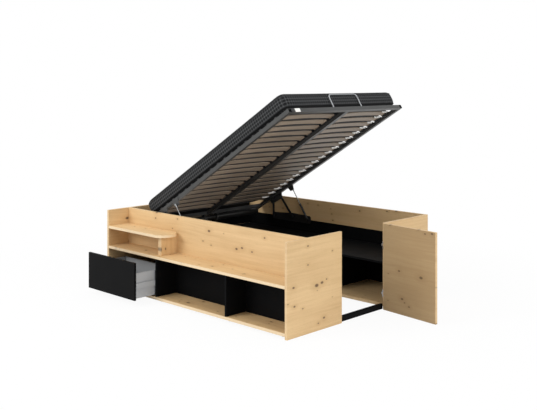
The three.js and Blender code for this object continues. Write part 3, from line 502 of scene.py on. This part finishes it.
def uneven(tree, vector, size):
    """The shared unevenness, with its bumps about size metres apart."""
    made = node(tree, "ShaderNodeGroup", node_tree=shared("Surface unevenness", surface_group))
    made.inputs["Size"].default_value = size
    tree.links.new(vector, made.inputs["Vector"])
    return made


def in_view(tree):
    """1 for what the camera sees itself, or in metal or glass."""
    path = node(tree, "ShaderNodeLightPath").outputs
    mirrored = maths(tree, "MAXIMUM", path["Is Glossy Ray"], path["Is Transmission Ray"])
    return maths(tree, "MAXIMUM", path["Is Camera Ray"], mirrored)


def oak_material(name, along, across, start, pale, spots=(), painted_shade_facing=None):
    """Oak with its grain along one direction of a board, paler on its edges, where the edge band also paints a
    highlight, and with painted shade darkening one face.
    """
    colours = bpy.context.scene.bed_colours
    made, tree, shader = material(name)
    point = place_of(tree)
    u = vectors(tree, "DOT_PRODUCT", point, along)
    v = vectors(tree, "DOT_PRODUCT", point, across)
    board = node(tree, "ShaderNodeCombineXYZ", {0: u, 1: v}).outputs[0]
    wood = node(tree, "ShaderNodeGroup", node_tree=shared("Knotty oak", oak_group))
    tree.links.new(vectors(tree, "ADD", board, (*start, 0)), wood.inputs["Vector"])
    wood.inputs["Light"].default_value = (*colours.oak_light, 1)
    wood.inputs["Dark"].default_value = (*colours.oak_dark, 1)
    wood.inputs["Knot"].default_value = (*colours.knot, 1)
    if spots:
        tree.links.new(placed_knots(tree, board, spots), wood.inputs["Placed knot"])
        wood.inputs["Scattered knots"].default_value = 0.12
    facing = node(tree, "ShaderNodeTexCoord").outputs["Normal"]
    outwards = Vector(along).cross(Vector(across))
    face = maths(tree, "ABSOLUTE", vectors(tree, "DOT_PRODUCT", facing, outwards))
    # Pale edge band on faces across the board; on the shelves it also paints the highlight of their front edges
    edge = maths(tree, "MULTIPLY", maths(tree, "LESS_THAN", face, FACES_ALIKE), pale)
    shade = mixed(tree, edge, wood.outputs["Color"], (*colours.edge_band_and_highlight, 1))
    # Painted shade: the face turned that way is mixed halfway towards a fifth of the dark oak
    if painted_shade_facing:
        towards = vectors(tree, "DOT_PRODUCT", facing, painted_shade_facing)
        inner = maths(tree, "GREATER_THAN", towards, FACES_ALIKE)
        painted_shade_share = maths(tree, "MULTIPLY", inner, 0.5)
        shade = mixed(tree, painted_shade_share, shade, tuple(0.2 * c for c in colours.oak_dark) + (1,))
    tree.links.new(shade, shader.inputs["Base Color"])
    tree.links.new(wood.outputs["Roughness"], shader.inputs["Roughness"])
    bumped(tree, shader, wood.outputs["Height"], strength=0.25, distance=0.0006)
    return made


def coated_material(name, colour, rough, size, strength, metallic=0.0, lift=1.35, **plain):
    """Paint, lacquer, melamine, plastic or smooth metal: one colour, cloudy and slightly uneven.

    Its bumps lie about size metres apart and show by strength, and its clouds are lift times lighter.
    """
    made, tree, shader = material(name, metallic, **plain)
    grit = uneven(tree, place_of(tree), size)
    lighter = tuple(min(1.0, c * lift) for c in colour)
    shade = mixed(tree, grit.outputs["Cloud"], (*colour, 1), (*lighter, 1))
    tree.links.new(shade, shader.inputs["Base Color"])
    roughness = spread(tree, grit.outputs["Cloud"], 0, 1, rough - 0.05, rough + 0.07)
    tree.links.new(roughness, shader.inputs["Roughness"])
    bumped(tree, shader, grit.outputs["Height"], strength, size / 6)
    return made


def brushed_material(name, colour, rough, along):
    """Bare metal with fine lines that run in the direction called along."""
    made, tree, shader = material(name, 1.0)
    point = place_of(tree)
    stretch = tuple(60.0 if abs(a) > 0.5 else 1400.0 for a in along)
    lines = noise(tree, point, stretch, 2.0)
    shade = tuple(0.8 * c for c in colour)
    tree.links.new(mixed(tree, lines, (*shade, 1), (*colour, 1)), shader.inputs["Base Color"])
    tree.links.new(spread(tree, lines, 0.3, 0.7, rough - 0.08, rough + 0.08), shader.inputs["Roughness"])
    bumped(tree, shader, lines, strength=0.1, distance=0.0002)
    return made


def slat_material():
    """One row's slats, black clips and centre holder, told apart by their distance from the centre line."""
    colours = bpy.context.scene.bed_colours
    made, tree, shader = material("Slat row")
    point = place_of(tree)
    side = node(tree, "ShaderNodeSeparateXYZ", {0: point}).outputs[1]
    from_centre = maths(tree, "ABSOLUTE", maths(tree, "SUBTRACT", side, BASE.translation.y))
    clip = maths(tree, "GREATER_THAN", from_centre, CLIP_START)
    holder = maths(tree, "MAXIMUM", clip, maths(tree, "LESS_THAN", from_centre, SADDLE_END))
    plies = noise(tree, point, (160.0, 3.0, 160.0), 3.0)
    board = noise(tree, point, (9.0, 1.2, 9.0), 2.0)
    dark = tuple(0.66 * c for c in colours.slat)
    figure = spread(tree, maths(tree, "ADD", plies, board), 0.75, 1.25)
    wood = mixed(tree, figure, (*dark, 1), (*colours.slat, 1))
    tree.links.new(mixed(tree, holder, wood, (*colours.lift_steel, 1)), shader.inputs["Base Color"])
    tree.links.new(spread(tree, figure, 0, 1, 0.42, 0.56), shader.inputs["Roughness"])
    bumped(tree, shader, plies, strength=0.15, distance=0.0004)
    return made


def ticking_material():
    """Knitted cover: a dark ground with a fine light check, drawn on the piece's own map in metres."""
    scene = bpy.context.scene
    colours, pitch = scene.bed_colours, scene.bed_sizes.check_pitch
    made, tree, shader = material(
        "Mattress ticking", Roughness=0.86, Sheen_Weight=0.05, Sheen_Roughness=0.4, Specular_IOR_Level=0.25
    )
    cloth = node(tree, "ShaderNodeUVMap", uv_map="Cover").outputs[0]
    in_pitches = vectors(tree, "MULTIPLY", cloth, (1 / pitch, 1 / pitch, 0))
    split = node(tree, "ShaderNodeSeparateXYZ", {0: in_pitches})
    waves = [maths(tree, "PINGPONG", split.outputs[axis], 0.5) for axis in range(2)]
    lines = [spread(tree, wave, 0.13, 0.20, 1.0, 0.0) for wave in waves]
    crossing = maths(tree, "MULTIPLY", *lines)
    either = maths(tree, "MAXIMUM", *lines)
    dashes = noise(tree, cloth, (220.0, 220.0, 1.0), 2.0)
    light = maths(tree, "ADD", maths(tree, "MULTIPLY", either, 0.5), maths(tree, "MULTIPLY", crossing, 0.5))
    worn = maths(tree, "MULTIPLY", light, spread(tree, dashes, 0.35, 0.6, 0.6, 1.0))
    knitted = mixed(tree, worn, (*colours.ticking, 1), (*colours.check, 1))
    tape = node(tree, "ShaderNodeAttribute", attribute_name="Tape").outputs["Fac"]
    taped = spread(tree, tape, -0.0008, 0.0008)
    tree.links.new(mixed(tree, taped, knitted, (*colours.ticking, 1)), shader.inputs["Base Color"])
    knit = noise(tree, cloth, (900.0, 900.0, 1.0), 2.0)
    height = maths(tree, "ADD", knit, maths(tree, "MULTIPLY", either, 1.2))
    bumped(tree, shader, height, strength=0.5, distance=0.0012)
    return made


def finish_nodes(names, made):
    """Gives CAD nodes their material."""
    for name in names:
        for held in frame["nodes"][name].material_slots:
            held.material = made


def finished(name):
    """A material made earlier."""
    return bpy.data.materials[name]


# Pieces


def piece(name, bm, made, body):
    """A finished bmesh as an object of its own that rides on a body."""
    mesh = bpy.data.meshes.new(name)
    bm.to_mesh(mesh)
    bm.free()
    mesh.materials.append(made)
    mesh.shade_smooth()
    mesh.set_sharp_from_angle(angle=math.radians(35))
    obj = bpy.data.objects.new(name, mesh)
    bpy.context.scene.collection.objects.link(obj)
    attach(obj, body)
    return obj


def edges_of(verts):
    """Every edge that meets these vertices, once each and always in the same order."""
    return list(dict.fromkeys(edge for vertex in verts for edge in vertex.link_edges))


def add_block(bm, low, high, bevel=0.001, segments=2):
    """A bevelled block between two corners, added to a bmesh."""
    low, high = Vector(low), Vector(high)
    made = bmesh.ops.create_cube(bm, size=1.0)["verts"]
    bmesh.ops.scale(bm, vec=high - low, verts=made)
    bmesh.ops.translate(bm, vec=(low + high) / 2, verts=made)
    edges = edges_of(made)
    bmesh.ops.bevel(bm, geom=edges, offset=bevel, segments=segments, profile=0.5, affect="EDGES", material=-1)


def add_bar(bm, start, end, diameter, rounding, segments=3):
    """A round bar between two points with rounded end edges, added to a bmesh."""
    start, end = Vector(start), Vector(end)
    along = end - start
    turn = Vector((0, 0, 1)).rotation_difference(along).to_matrix().to_4x4()
    made = bmesh.ops.create_cone(
        bm,
        cap_ends=True,
        segments=bpy.context.scene.bed_sizes.smoothing,
        radius1=diameter / 2,
        radius2=diameter / 2,
        depth=along.length,
        matrix=Matrix.Translation((start + end) / 2) @ turn,
    )["verts"]
    rims = []
    for edge in edges_of(made):
        if abs((edge.verts[1].co - edge.verts[0].co).dot(along)) < 0.5 * edge.calc_length() * along.length:
            rims.append(edge)
    bmesh.ops.bevel(
        bm, geom=rims, offset=rounding, segments=segments, profile=0.5, affect="EDGES", material=-1
    )


def rounded_outline():
    """Points round the mattress, seen from above on the flat base, with its foot end at +x."""
    half_length, half_width = MATTRESS_LENGTH / 2, MATTRESS_WIDTH / 2
    middle = -MATTRESS_FOOT_GAP - half_length
    points = []
    for quarter, (sx, sy, radius) in enumerate(
        ((1, 1, FOOT_CORNER), (-1, 1, HEAD_CORNER), (-1, -1, HEAD_CORNER), (1, -1, FOOT_CORNER))
    ):
        centre = Vector((middle + sx * (half_length - radius), sy * (half_width - radius)))
        for step in range(CORNER_STEPS + 1):
            angle = (quarter + step / CORNER_STEPS) * math.pi / 2
            points.append(centre + radius * Vector((math.cos(angle), math.sin(angle))))
    return points


def mattress_block():
    """The unfilled mattress on the flat base: a block with round corners and soft edges, in even quads."""
    bm = bmesh.new()
    rim = [bm.verts.new((p.x, p.y, MATTRESS_UNDER)) for p in rounded_outline()]
    floor = bm.faces.new(rim)
    raised = bmesh.ops.extrude_face_region(bm, geom=[floor])
    top = [v for v in raised["geom"] if isinstance(v, bmesh.types.BMVert)]
    bmesh.ops.translate(bm, vec=(0, 0, MATTRESS_HEIGHT), verts=top)
    bmesh.ops.recalc_face_normals(bm, faces=bm.faces)
    level = [e for e in bm.edges if abs(e.verts[0].co.z - e.verts[1].co.z) < 1e-6]
    bmesh.ops.bevel(bm, geom=level, offset=EDGE_ROUND, segments=6, profile=0.5, affect="EDGES", material=-1)
    mesh = bpy.data.meshes.new("mattress_cover")
    bm.to_mesh(mesh)
    bm.free()
    obj = bpy.data.objects.new("mattress_cover", mesh)
    bpy.context.scene.collection.objects.link(obj)
    remesh = obj.modifiers.new("Even quads", "REMESH")
    remesh.mode = "VOXEL"
    remesh.voxel_size = COVER_VOXEL
    apply_modifiers(obj)
    return obj


def apply_modifiers(obj):
    """Leaves the object with the mesh that its modifiers give, and with none of them."""
    evaluated = obj.evaluated_get(bpy.context.evaluated_depsgraph_get())
    made = bpy.data.meshes.new_from_object(evaluated)
    obj.modifiers.clear()
    obj.data = made


def filled(obj, swell):
    """Blows the cover up as a cloth under the pressure of its filling, no point further than swell."""
    scene = bpy.context.scene
    before = [vertex.co.copy() for vertex in obj.data.vertices]
    cloth = obj.modifiers.new("Filling", "CLOTH")
    cloth.settings.quality = 4
    cloth.settings.use_pressure = True
    cloth.settings.uniform_pressure_force = FILLING_PRESSURE
    cloth.settings.effector_weights.gravity = 0.0
    cloth.collision_settings.use_collision = False
    cloth.point_cache.frame_start = 1
    cloth.point_cache.frame_end = FILLING_STEPS
    for step in range(1, FILLING_STEPS + 1):
        scene.frame_set(step)
    apply_modifiers(obj)
    scene.frame_set(1)
    for vertex, start in zip(obj.data.vertices, before):
        moved = vertex.co - start
        if moved.length > swell:
            vertex.co = start + moved * (swell / moved.length)


def quilted(mesh):
    """Sinks the crossed sewn lines into the top, and lets them fade out towards its edges."""
    pitch = bpy.context.scene.bed_sizes.quilt_pitch
    middle_z = MATTRESS_UNDER + MATTRESS_HEIGHT / 2
    half_length = MATTRESS_LENGTH / 2
    flat = [abs(vertex.normal.z) for vertex in mesh.vertices]
    for vertex, level in zip(mesh.vertices, flat):
        x, y, z = vertex.co
        if z < middle_z:
            continue
        across = x + MATTRESS_FOOT_GAP + half_length
        edge = min(half_length - abs(across), MATTRESS_WIDTH / 2 - abs(y))
        inner = min(1.0, max(0.0, (edge - QUILT_MARGIN) / QUILT_FADE))
        cell = abs(math.sin(math.pi * (across + y) / pitch)) * abs(math.sin(math.pi * (across - y) / pitch))
        vertex.co.z -= QUILT_DEPTH * (1 - cell**0.4) * inner * level


def cover_map(mesh):
    """A map in metres: lengthways and across on the two panels, round and up on the border."""
    half_length, half_width = MATTRESS_LENGTH / 2, MATTRESS_WIDTH / 2
    layer = mesh.uv_layers.new(name="Cover")
    for polygon in mesh.polygons:
        normal = polygon.normal
        for loop in polygon.loop_indices:
            x, y, z = mesh.vertices[mesh.loops[loop].vertex_index].co
            along = x + MATTRESS_FOOT_GAP + half_length
            if abs(normal.z) > 0.8:
                layer.data[loop].uv = (along, y)
            elif abs(normal.y) > abs(normal.x):
                layer.data[loop].uv = (along, z)
            else:
                layer.data[loop].uv = (half_length + half_width + y * math.copysign(1, normal.x), z)


def tape_bands(mesh):
    """Writes how deep each point lies in the plain tapes over the two seams, below 0 outside them."""
    depths = []
    for vertex in mesh.vertices:
        rise = vertex.co.z - MATTRESS_UNDER
        upright = (0.85 - abs(vertex.normal.z)) * EDGE_ROUND
        depths.append(min(max(rise - (MATTRESS_HEIGHT - UPPER_TAPE), LOWER_TAPE - rise), upright))
    mesh.attributes.new("Tape", "FLOAT", "POINT").data.foreach_set("value", depths)


def cord_round(name, cover, z, diameter, made, body):
    """A cord sewn round the filled mattress at one height, half sunk in its cover."""
    surface = BVHTree.FromObject(cover, bpy.context.evaluated_depsgraph_get())
    outline = rounded_outline()
    middle = sum(outline, Vector((0, 0))) / len(outline)
    curve = bpy.data.curves.new(name, "CURVE")
    curve.dimensions = "3D"
    curve.bevel_depth = diameter / 2
    curve.bevel_resolution = 2
    spline = curve.splines.new("POLY")
    spline.points.add(len(outline) - 1)
    for held, p in zip(spline.points, outline):
        inwards = (middle - p).normalized()
        outside = Vector((*(p - 0.1 * inwards), z))
        found = surface.ray_cast(outside, Vector((*inwards, 0)))[0]
        held.co = (found.x, found.y, z, 1)
    spline.use_cyclic_u = True
    source = bpy.data.objects.new(name, curve)
    bpy.context.scene.collection.objects.link(source)
    mesh = bpy.data.meshes.new_from_object(source.evaluated_get(bpy.context.evaluated_depsgraph_get()))
    bpy.data.objects.remove(source)
    bpy.data.curves.remove(curve)
    mesh.transform(BASE)
    mesh.materials.clear()
    mesh.materials.append(made)
    mesh.shade_smooth()
    obj = bpy.data.objects.new(name, mesh)
    bpy.context.scene.collection.objects.link(obj)
    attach(obj, body)
    return obj


# Operators


class BED_OT_studio(bpy.types.Operator):
    """Puts the floor, the lamps and the camera round the bed"""

    bl_idname = "bed.studio"
    bl_label = "Studio"

    def execute(self, context):
        scene = context.scene
        scene.view_settings.view_transform = "Standard"
        self.add_floor(scene)
        self.light_world(scene)
        for name, at, towards, size, power in (
            ("Window left", (-1.2, -6.5, 4.2), (1.0, -0.4, 0.5), 4.0, 262),
            ("Window right", (7.5, -1.0, 3.2), (1.6, 0.0, 0.5), 3.6, 140),
            ("Ceiling", (1.2, -0.6, 6.0), (1.0, 0.0, 0.4), 5.0, 85),
        ):
            self.add_lamp(scene, name, at, towards, size, power)
        self.add_camera(scene)
        return {"FINISHED"}

    @staticmethod
    def add_floor(scene):
        bm = bmesh.new()
        bmesh.ops.create_grid(bm, x_segments=1, y_segments=1, size=30.0)
        mesh = bpy.data.meshes.new("studio_floor")
        bm.to_mesh(mesh)
        bm.free()
        floor = bpy.data.objects.new("studio_floor", mesh)
        floor.location = (0, 0, -0.0005)
        scene.collection.objects.link(floor)
        made, tree, shader = material("Studio floor", Roughness=0.9)
        shader.inputs["Base Color"].default_value = (0.90, 0.90, 0.90, 1)
        away = vectors(tree, "LENGTH", vectors(tree, "SUBTRACT", place_of(tree), SHADOW_MIDDLE))
        glow = node(tree, "ShaderNodeEmission", {"Color": (1, 1, 1, 1), "Strength": 1.0})
        share = maths(tree, "MULTIPLY", in_view(tree), spread(tree, away, *SHADOW_FADE, WHITE_NEAR_BED, 1.0))
        mix = node(tree, "ShaderNodeMixShader", {0: share, 1: shader.outputs[0], 2: glow.outputs[0]})
        output = next(n for n in tree.nodes if n.type == "OUTPUT_MATERIAL")
        tree.links.new(mix.outputs[0], output.inputs["Surface"])
        mesh.materials.append(made)

    @staticmethod
    def light_world(scene):
        world = bpy.data.worlds.new("Studio world")
        scene.world = world
        world.use_nodes = True
        tree = world.node_tree
        background = tree.nodes["Background"]
        background.inputs["Color"].default_value = (1, 1, 1, 1)
        level = spread(tree, in_view(tree), 0, 1, WORLD_LEVEL, 1.0)
        tree.links.new(level, background.inputs["Strength"])

    @staticmethod
    def add_lamp(scene, name, at, towards, size, power):
        lamp = bpy.data.lights.new(name, "AREA")
        lamp.shape = "DISK"
        lamp.size = size
        lamp.energy = power
        obj = bpy.data.objects.new(name, lamp)
        obj.location = at
        obj.rotation_euler = (Vector(towards) - Vector(at)).to_track_quat("-Z", "Y").to_euler()
        scene.collection.objects.link(obj)

    @staticmethod
    def add_camera(scene):
        camera = bpy.data.cameras.new("Camera")
        camera.sensor_width = 36.0
        camera.lens = 57.08
        camera.shift_y = -0.2312
        obj = bpy.data.objects.new("Camera", camera)
        obj.location = (5.934, -4.984, 1.735)
        obj.rotation_euler = (math.radians(90), 0, math.radians(44.345))
        scene.collection.objects.link(obj)
        scene.camera = obj


class BED_OT_oak_boards(bpy.types.Operator):
    """Gives the oak boards their knotty decor, each with the grain in its own direction"""

    bl_idname = "bed.oak_boards"
    bl_label = "Oak boards"

    def execute(self, context):
        x, y, z = (1, 0, 0), (0, 1, 0), (0, 0, 1)
        width = (math.sin(DOOR_TURN), -math.cos(DOOR_TURN), 0)
        inner_face = (-math.cos(DOOR_TURN), -math.sin(DOOR_TURN), 0)
        knots_on = {
            "side_board": (
                (1.040, 0.582, 0.010),
                (1.405, 0.502, 0.008),
                (1.346, 0.487, 0.009),
                (0.382, 0.608, 0.006),
                (1.639, 0.606, 0.006),
                (0.662, 0.632, 0.005),
                (0.970, 0.497, 0.005),
                (1.510, 0.487, 0.006),
            ),
            "front_end_panel": (
                (-0.531, 0.317, 0.013),
                (-0.475, 0.328, 0.010),
                (-0.768, 0.341, 0.008),
                (-0.759, 0.213, 0.007),
                (-0.454, 0.079, 0.008),
                (-0.622, 0.603, 0.006),
                (-0.622, 0.473, 0.005),
                (-0.426, 0.344, 0.005),
            ),
            "door_panel": (
                (2.485, 0.643, 0.008),
                (2.420, 0.634, 0.006),
                (2.382, 0.311, 0.011),
                (2.169, 0.324, 0.007),
                (2.199, 0.122, 0.009),
                (2.267, 0.077, 0.006),
                (2.078, 0.653, 0.005),
            ),
        }
        for name, along, across, start in (
            ("head_panel", y, z, (7.3, 0.4)),
            ("front_end_panel", y, z, (0.15, 2.2)),
            ("wall_end_panel", y, z, (3.1, 1.2)),
            ("side_board", x, z, (0.42, 0.9)),
            ("wall_board", x, z, (5.2, 3.4)),
            ("middle_shelf", x, y, (2.7, 5.1)),
            ("bottom_shelf", x, y, (9.1, 6.6)),
            ("upper_shelf", x, y, (4.4, 2.8)),
            ("upper_shelf_support", z, y, (1.9, 8.2)),
            ("wall_unit_floor", x, y, (6.0, 7.7)),
            ("door_panel", width, z, (8.8, 5.5)),
        ):
            # The door's inner face gets painted shade: darker oak on that face only
            painted_shade_facing = inner_face if name == "door_panel" else None
            finish = "Oak " + name.replace("_", " ")
            # The shelves' edges get much more of the pale edge, as a painted highlight besides the band
            pale = PALE_SHELF_EDGES if name.endswith("shelf") else PALE_PANEL_EDGES
            made = oak_material(finish, along, across, start, pale, knots_on.get(name, ()), painted_shade_facing)
            finish_nodes([name], made)
        return {"FINISHED"}


class BED_OT_dark_boards(bpy.types.Operator):
    """Finishes the black inner boards, the drawer front and the grey drawer box, and adds a black sheet of
    painted shade on the head panel
    """

    bl_idname = "bed.dark_boards"
    bl_label = "Dark boards and drawer"

    def execute(self, context):
        colours = context.scene.bed_colours
        black = coated_material(
            "Black melamine",
            colours.black_board,
            rough=0.5,
            size=0.0022,
            strength=0.18,
            Specular_IOR_Level=0.03,
        )
        finish_nodes(
            [
                "drawer_divider",
                "niche_divider",
                "niche_back",
                "aisle_panel",
                "wall_unit_divider",
                "wall_unit_deck",
                "wall_unit_back",
                "foot_tie_bar",
            ],
            black,
        )
        front = coated_material(
            "Charcoal lacquer",
            colours.drawer_front,
            rough=0.46,
            size=0.0016,
            strength=0.12,
            lift=1.2,
            Specular_IOR_Level=0.05,
        )
        finish_nodes(["drawer_front"], front)
        grey = coated_material(
            "Grey drawer board", colours.drawer_box, rough=0.52, size=0.0018, strength=0.12, lift=1.08
        )
        finish_nodes(["drawer_side_head", "drawer_side_divider", "drawer_back", "drawer_bottom"], grey)
        self.add_head_shade_sheet(black)
        return {"FINISHED"}

    @staticmethod
    def add_head_shade_sheet(black):
        """A black sheet on the head panel's inner face, under the mattress, held by two rows of screws: painted
        shade for the dark under the raised base.
        """
        sizes = bpy.context.scene.bed_sizes
        side_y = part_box("side_board")[1][1]
        wall_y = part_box("wall_board")[0][1]
        low_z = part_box("middle_shelf")[1][2]
        face = HEAD_INNER_FACE + sizes.head_lining
        low = (HEAD_INNER_FACE, side_y + SHADE_SHEET_GAP, low_z + SHADE_SHEET_GAP)
        high = (face, wall_y - SHADE_SHEET_GAP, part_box("side_board")[1][2] - SHADE_SHEET_DROP)
        bm = bmesh.new()
        add_block(bm, low, high, bevel=0.0012)
        row = high[1] - low[1] - 2 * SCREW_SIDE_MARGIN
        for step in range(SCREWS_IN_ROW):
            y = low[1] + SCREW_SIDE_MARGIN + row * step / (SCREWS_IN_ROW - 1)
            for z in (low[2] + SCREW_EDGE_MARGIN, high[2] - SCREW_EDGE_MARGIN):
                low_end, high_end = (face - 0.002, y, z), (face + SCREW_HEIGHT, y, z)
                add_bar(bm, low_end, high_end, sizes.screw_diameter, rounding=0.0008, segments=2)
        # Painted shade: a black sheet where the raised base leaves the head panel dark
        piece("head_lining", bm, black, "root")


class BED_OT_metalwork(bpy.types.Operator):
    """Finishes the lift, the base frame, the mattress stop, the runners and the hinges"""

    bl_idname = "bed.metalwork"
    bl_label = "Metalwork"

    def execute(self, context):
        colours = context.scene.bed_colours
        black = coated_material(
            "Black powder coat", colours.lift_steel, rough=0.40, size=0.0012, strength=0.25
        )
        sides = ("shelf_side", "wall_side")
        parts = ("lift_plate_", "rear_arm_", "front_arm_", "strut_cylinder_")
        finish_nodes([part + side for part in parts for side in sides], black)
        grey = coated_material(
            "Frame powder coat", colours.frame_steel, rough=0.36, size=0.0014, strength=0.25, metallic=0.35
        )
        finish_nodes(["base_frame"], grey)
        zinc = brushed_material("Zinc plate", (0.52, 0.53, 0.55), rough=0.34, along=(0, 1, 0))
        finish_nodes(["drawer_runner_head_side", "drawer_runner_divider_side"], zinc)
        finish_nodes(["door_hinge_lower", "door_hinge_upper"], zinc)
        chrome = coated_material(
            "Chrome", (0.36, 0.37, 0.38), rough=0.22, size=0.003, strength=0.02, metallic=1.0, lift=1.1
        )
        finish_nodes(["strut_rod_" + side for side in sides], chrome)
        satin = coated_material(
            "Satin rod", (0.30, 0.31, 0.32), rough=0.42, size=0.002, strength=0.05, metallic=0.8, lift=1.2
        )
        finish_nodes(["mattress_stop"], satin)
        return {"FINISHED"}


class BED_OT_base_fittings(bpy.types.Operator):
    """Adds the spring tube, the corner joint and its cap, the black blocks of painted shade on the rails, and
    the lips of the slats' clips
    """

    bl_idname = "bed.base_fittings"
    bl_label = "Base fittings"

    def execute(self, context):
        colours = context.scene.bed_colours
        self.add_spring_tube(context.scene.bed_sizes)
        black = finished("Black powder coat")
        white = coated_material(
            "White plastic", colours.clip, rough=0.4, size=0.002, strength=0.05, lift=1.04
        )
        joint, cap, shade_blocks, lips = (bmesh.new() for _ in range(4))
        add_block(joint, *CORNER_JOINT, bevel=0.0015)
        add_block(cap, *CORNER_CAP, bevel=0.0015)
        for row in range(SLAT_ROWS):
            x = -FIRST_SLAT - row * SLAT_PITCH
            for side, length in ((-1, SHELF_LIP), (1, WALL_LIP)):
                # Painted shade: a black block on the rail's top at each slat row
                self.add_shade_block(shade_blocks, x, side * (HALF_BASE - RAIL / 2))
                self.add_lip(lips, x + CLIP_EDGE + LIP_PROUD, side, length)
        for name, bm, made, slot in (
            ("corner_joint", joint, black, "black_steel"),
            ("corner_cap", cap, white, "slat_beech"),
            ("slat_lugs", shade_blocks, black, "black_steel"),
            ("slat_clip_lips", lips, white, "slat_beech"),
        ):
            bmesh.ops.transform(bm, matrix=BASE, verts=bm.verts)
            piece(name, bm, made, "base")
        return {"FINISHED"}

    @staticmethod
    def add_shade_block(bm, x, y):
        """A black block on a side rail's top at one slat row: painted shade for the dark gap under the
        mattress.
        """
        low = (x - SHADE_BLOCK_LENGTH / 2, y - SHADE_BLOCK_WIDTH / 2, SHADE_BLOCK_HEIGHTS[0])
        high = (x + SHADE_BLOCK_LENGTH / 2, y + SHADE_BLOCK_WIDTH / 2, SHADE_BLOCK_HEIGHTS[1])
        add_block(bm, low, high, bevel=0.002, segments=1)

    @staticmethod
    def add_lip(bm, foot_edge, side, length):
        """A clip's lip along its slat's edge: a thick part, and a thin tail that reaches the side rail."""
        inner = HALF_BASE - RAIL
        for start, end, heights in (
            (length, LIP_TAIL, LIP_HEIGHTS),
            (LIP_TAIL + 0.002, 0.001, TAIL_HEIGHTS),
        ):
            ends = sorted((side * (inner - start), side * (inner - end)))
            low = (foot_edge - LIP_THICKNESS, ends[0], heights[0])
            add_block(bm, low, (foot_edge, ends[1], heights[1]), bevel=0.001, segments=1)

    @staticmethod
    def add_spring_tube(sizes):
        """Two bars of one telescopic tube, with a collar, two clamps and a link to the wall side's pivot."""
        colours = bpy.context.scene.bed_colours
        x, z = HEAD_RAIL_MIDDLE, -sizes.spring_tube / 2
        bm = bmesh.new()
        for (start, end), diameter, rounding, segments in (
            (THICK_TUBE, sizes.spring_tube, 0.018, 5),
            (THIN_TUBE, sizes.torsion_bar, 0.004, 3),
            (TUBE_COLLAR, sizes.spring_tube + 0.004, 0.003, 3),
        ):
            add_bar(bm, (x, start, z), (x, end, z), diameter, rounding, segments)
        add_bar(bm, (x, 0.585, z), (x + 0.13, 0.655, 0.008), LINK_DIAMETER, rounding=0.002)
        reach = sizes.torsion_bar / 2 + CLAMP_WALL
        for y in TUBE_CLAMPS:
            low = (x - reach, y - CLAMP_WIDTH / 2, z - reach)
            add_block(bm, low, (x + reach, y + CLAMP_WIDTH / 2, 0.001), bevel=0.003)
        bmesh.ops.transform(bm, matrix=BASE, verts=bm.verts)
        shade = tuple(0.4 * c for c in colours.frame_steel)
        made = coated_material("Spring tube", shade, rough=0.32, size=0.0014, strength=0.15, metallic=0.5)
        piece("spring_tube", bm, made, "base")


class BED_OT_slats(bpy.types.Operator):
    """Finishes the slat rows"""

    bl_idname = "bed.slats"
    bl_label = "Slats"

    def execute(self, context):
        made = slat_material()
        finish_nodes([f"slat_row_{row:02d}" for row in range(1, SLAT_ROWS + 1)], made)
        return {"FINISHED"}


class BED_OT_mattress(bpy.types.Operator):
    """Makes the quilted mattress with its checked cover and sewn edges"""

    bl_idname = "bed.mattress"
    bl_label = "Mattress"

    def execute(self, context):
        sizes = context.scene.bed_sizes
        cover = mattress_block()
        filled(cover, sizes.swell)
        finer = cover.modifiers.new("Finer", "SUBSURF")
        finer.levels = finer.render_levels = 1
        apply_modifiers(cover)
        quilted(cover.data)
        thread = (0.006, 0.006, 0.007)
        edge = coated_material("Mattress piping", thread, rough=0.8, size=0.0008, strength=0.4)
        for name, z in (
            ("mattress_piping_upper", MATTRESS_UNDER + MATTRESS_HEIGHT - UPPER_TAPE),
            ("mattress_piping_lower", MATTRESS_UNDER + LOWER_TAPE),
        ):
            cord_round(name, cover, z, sizes.piping, edge, "base")
        cover_map(cover.data)
        tape_bands(cover.data)
        cover.data.transform(BASE)
        cover.data.materials.clear()
        cover.data.materials.append(ticking_material())
        cover.data.shade_smooth()
        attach(cover, "base")
        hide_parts("mattress")
        return {"FINISHED"}


OPERATORS = (
    BED_OT_studio,
    BED_OT_oak_boards,
    BED_OT_dark_boards,
    BED_OT_metalwork,
    BED_OT_base_fittings,
    BED_OT_slats,
    BED_OT_mattress,
)


class BED_PT_panel(bpy.types.Panel):
    """Lists the bed's pieces and the values that shape them"""

    bl_idname = "BED_PT_panel"
    bl_label = "Ottoman bed"
    bl_space_type = "VIEW_3D"
    bl_region_type = "UI"
    bl_category = "Bed"

    def draw(self, context):
        for operator in OPERATORS:
            self.layout.operator(operator.bl_idname)
        for values in (context.scene.bed_colours, context.scene.bed_sizes):
            column = self.layout.column(align=True)
            for name in values.bl_rna.properties.keys():
                if name not in {"rna_type", "name"}:
                    column.prop(values, name)


CLASSES = (BedColours, BedSizes, *OPERATORS, BED_PT_panel)


def register():
    for cls in CLASSES:
        bpy.utils.register_class(cls)
    bpy.types.Scene.bed_colours = PointerProperty(type=BedColours)
    bpy.types.Scene.bed_sizes = PointerProperty(type=BedSizes)


def unregister():
    del bpy.types.Scene.bed_sizes
    del bpy.types.Scene.bed_colours
    for cls in reversed(CLASSES):
        bpy.utils.unregister_class(cls)


def main():
    register()
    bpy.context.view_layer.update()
    bpy.ops.bed.studio()
    bpy.ops.bed.oak_boards()
    bpy.ops.bed.dark_boards()
    bpy.ops.bed.metalwork()
    bpy.ops.bed.base_fittings()
    bpy.ops.bed.slats()
    bpy.ops.bed.mattress()


if __name__ == "__main__":
    main()
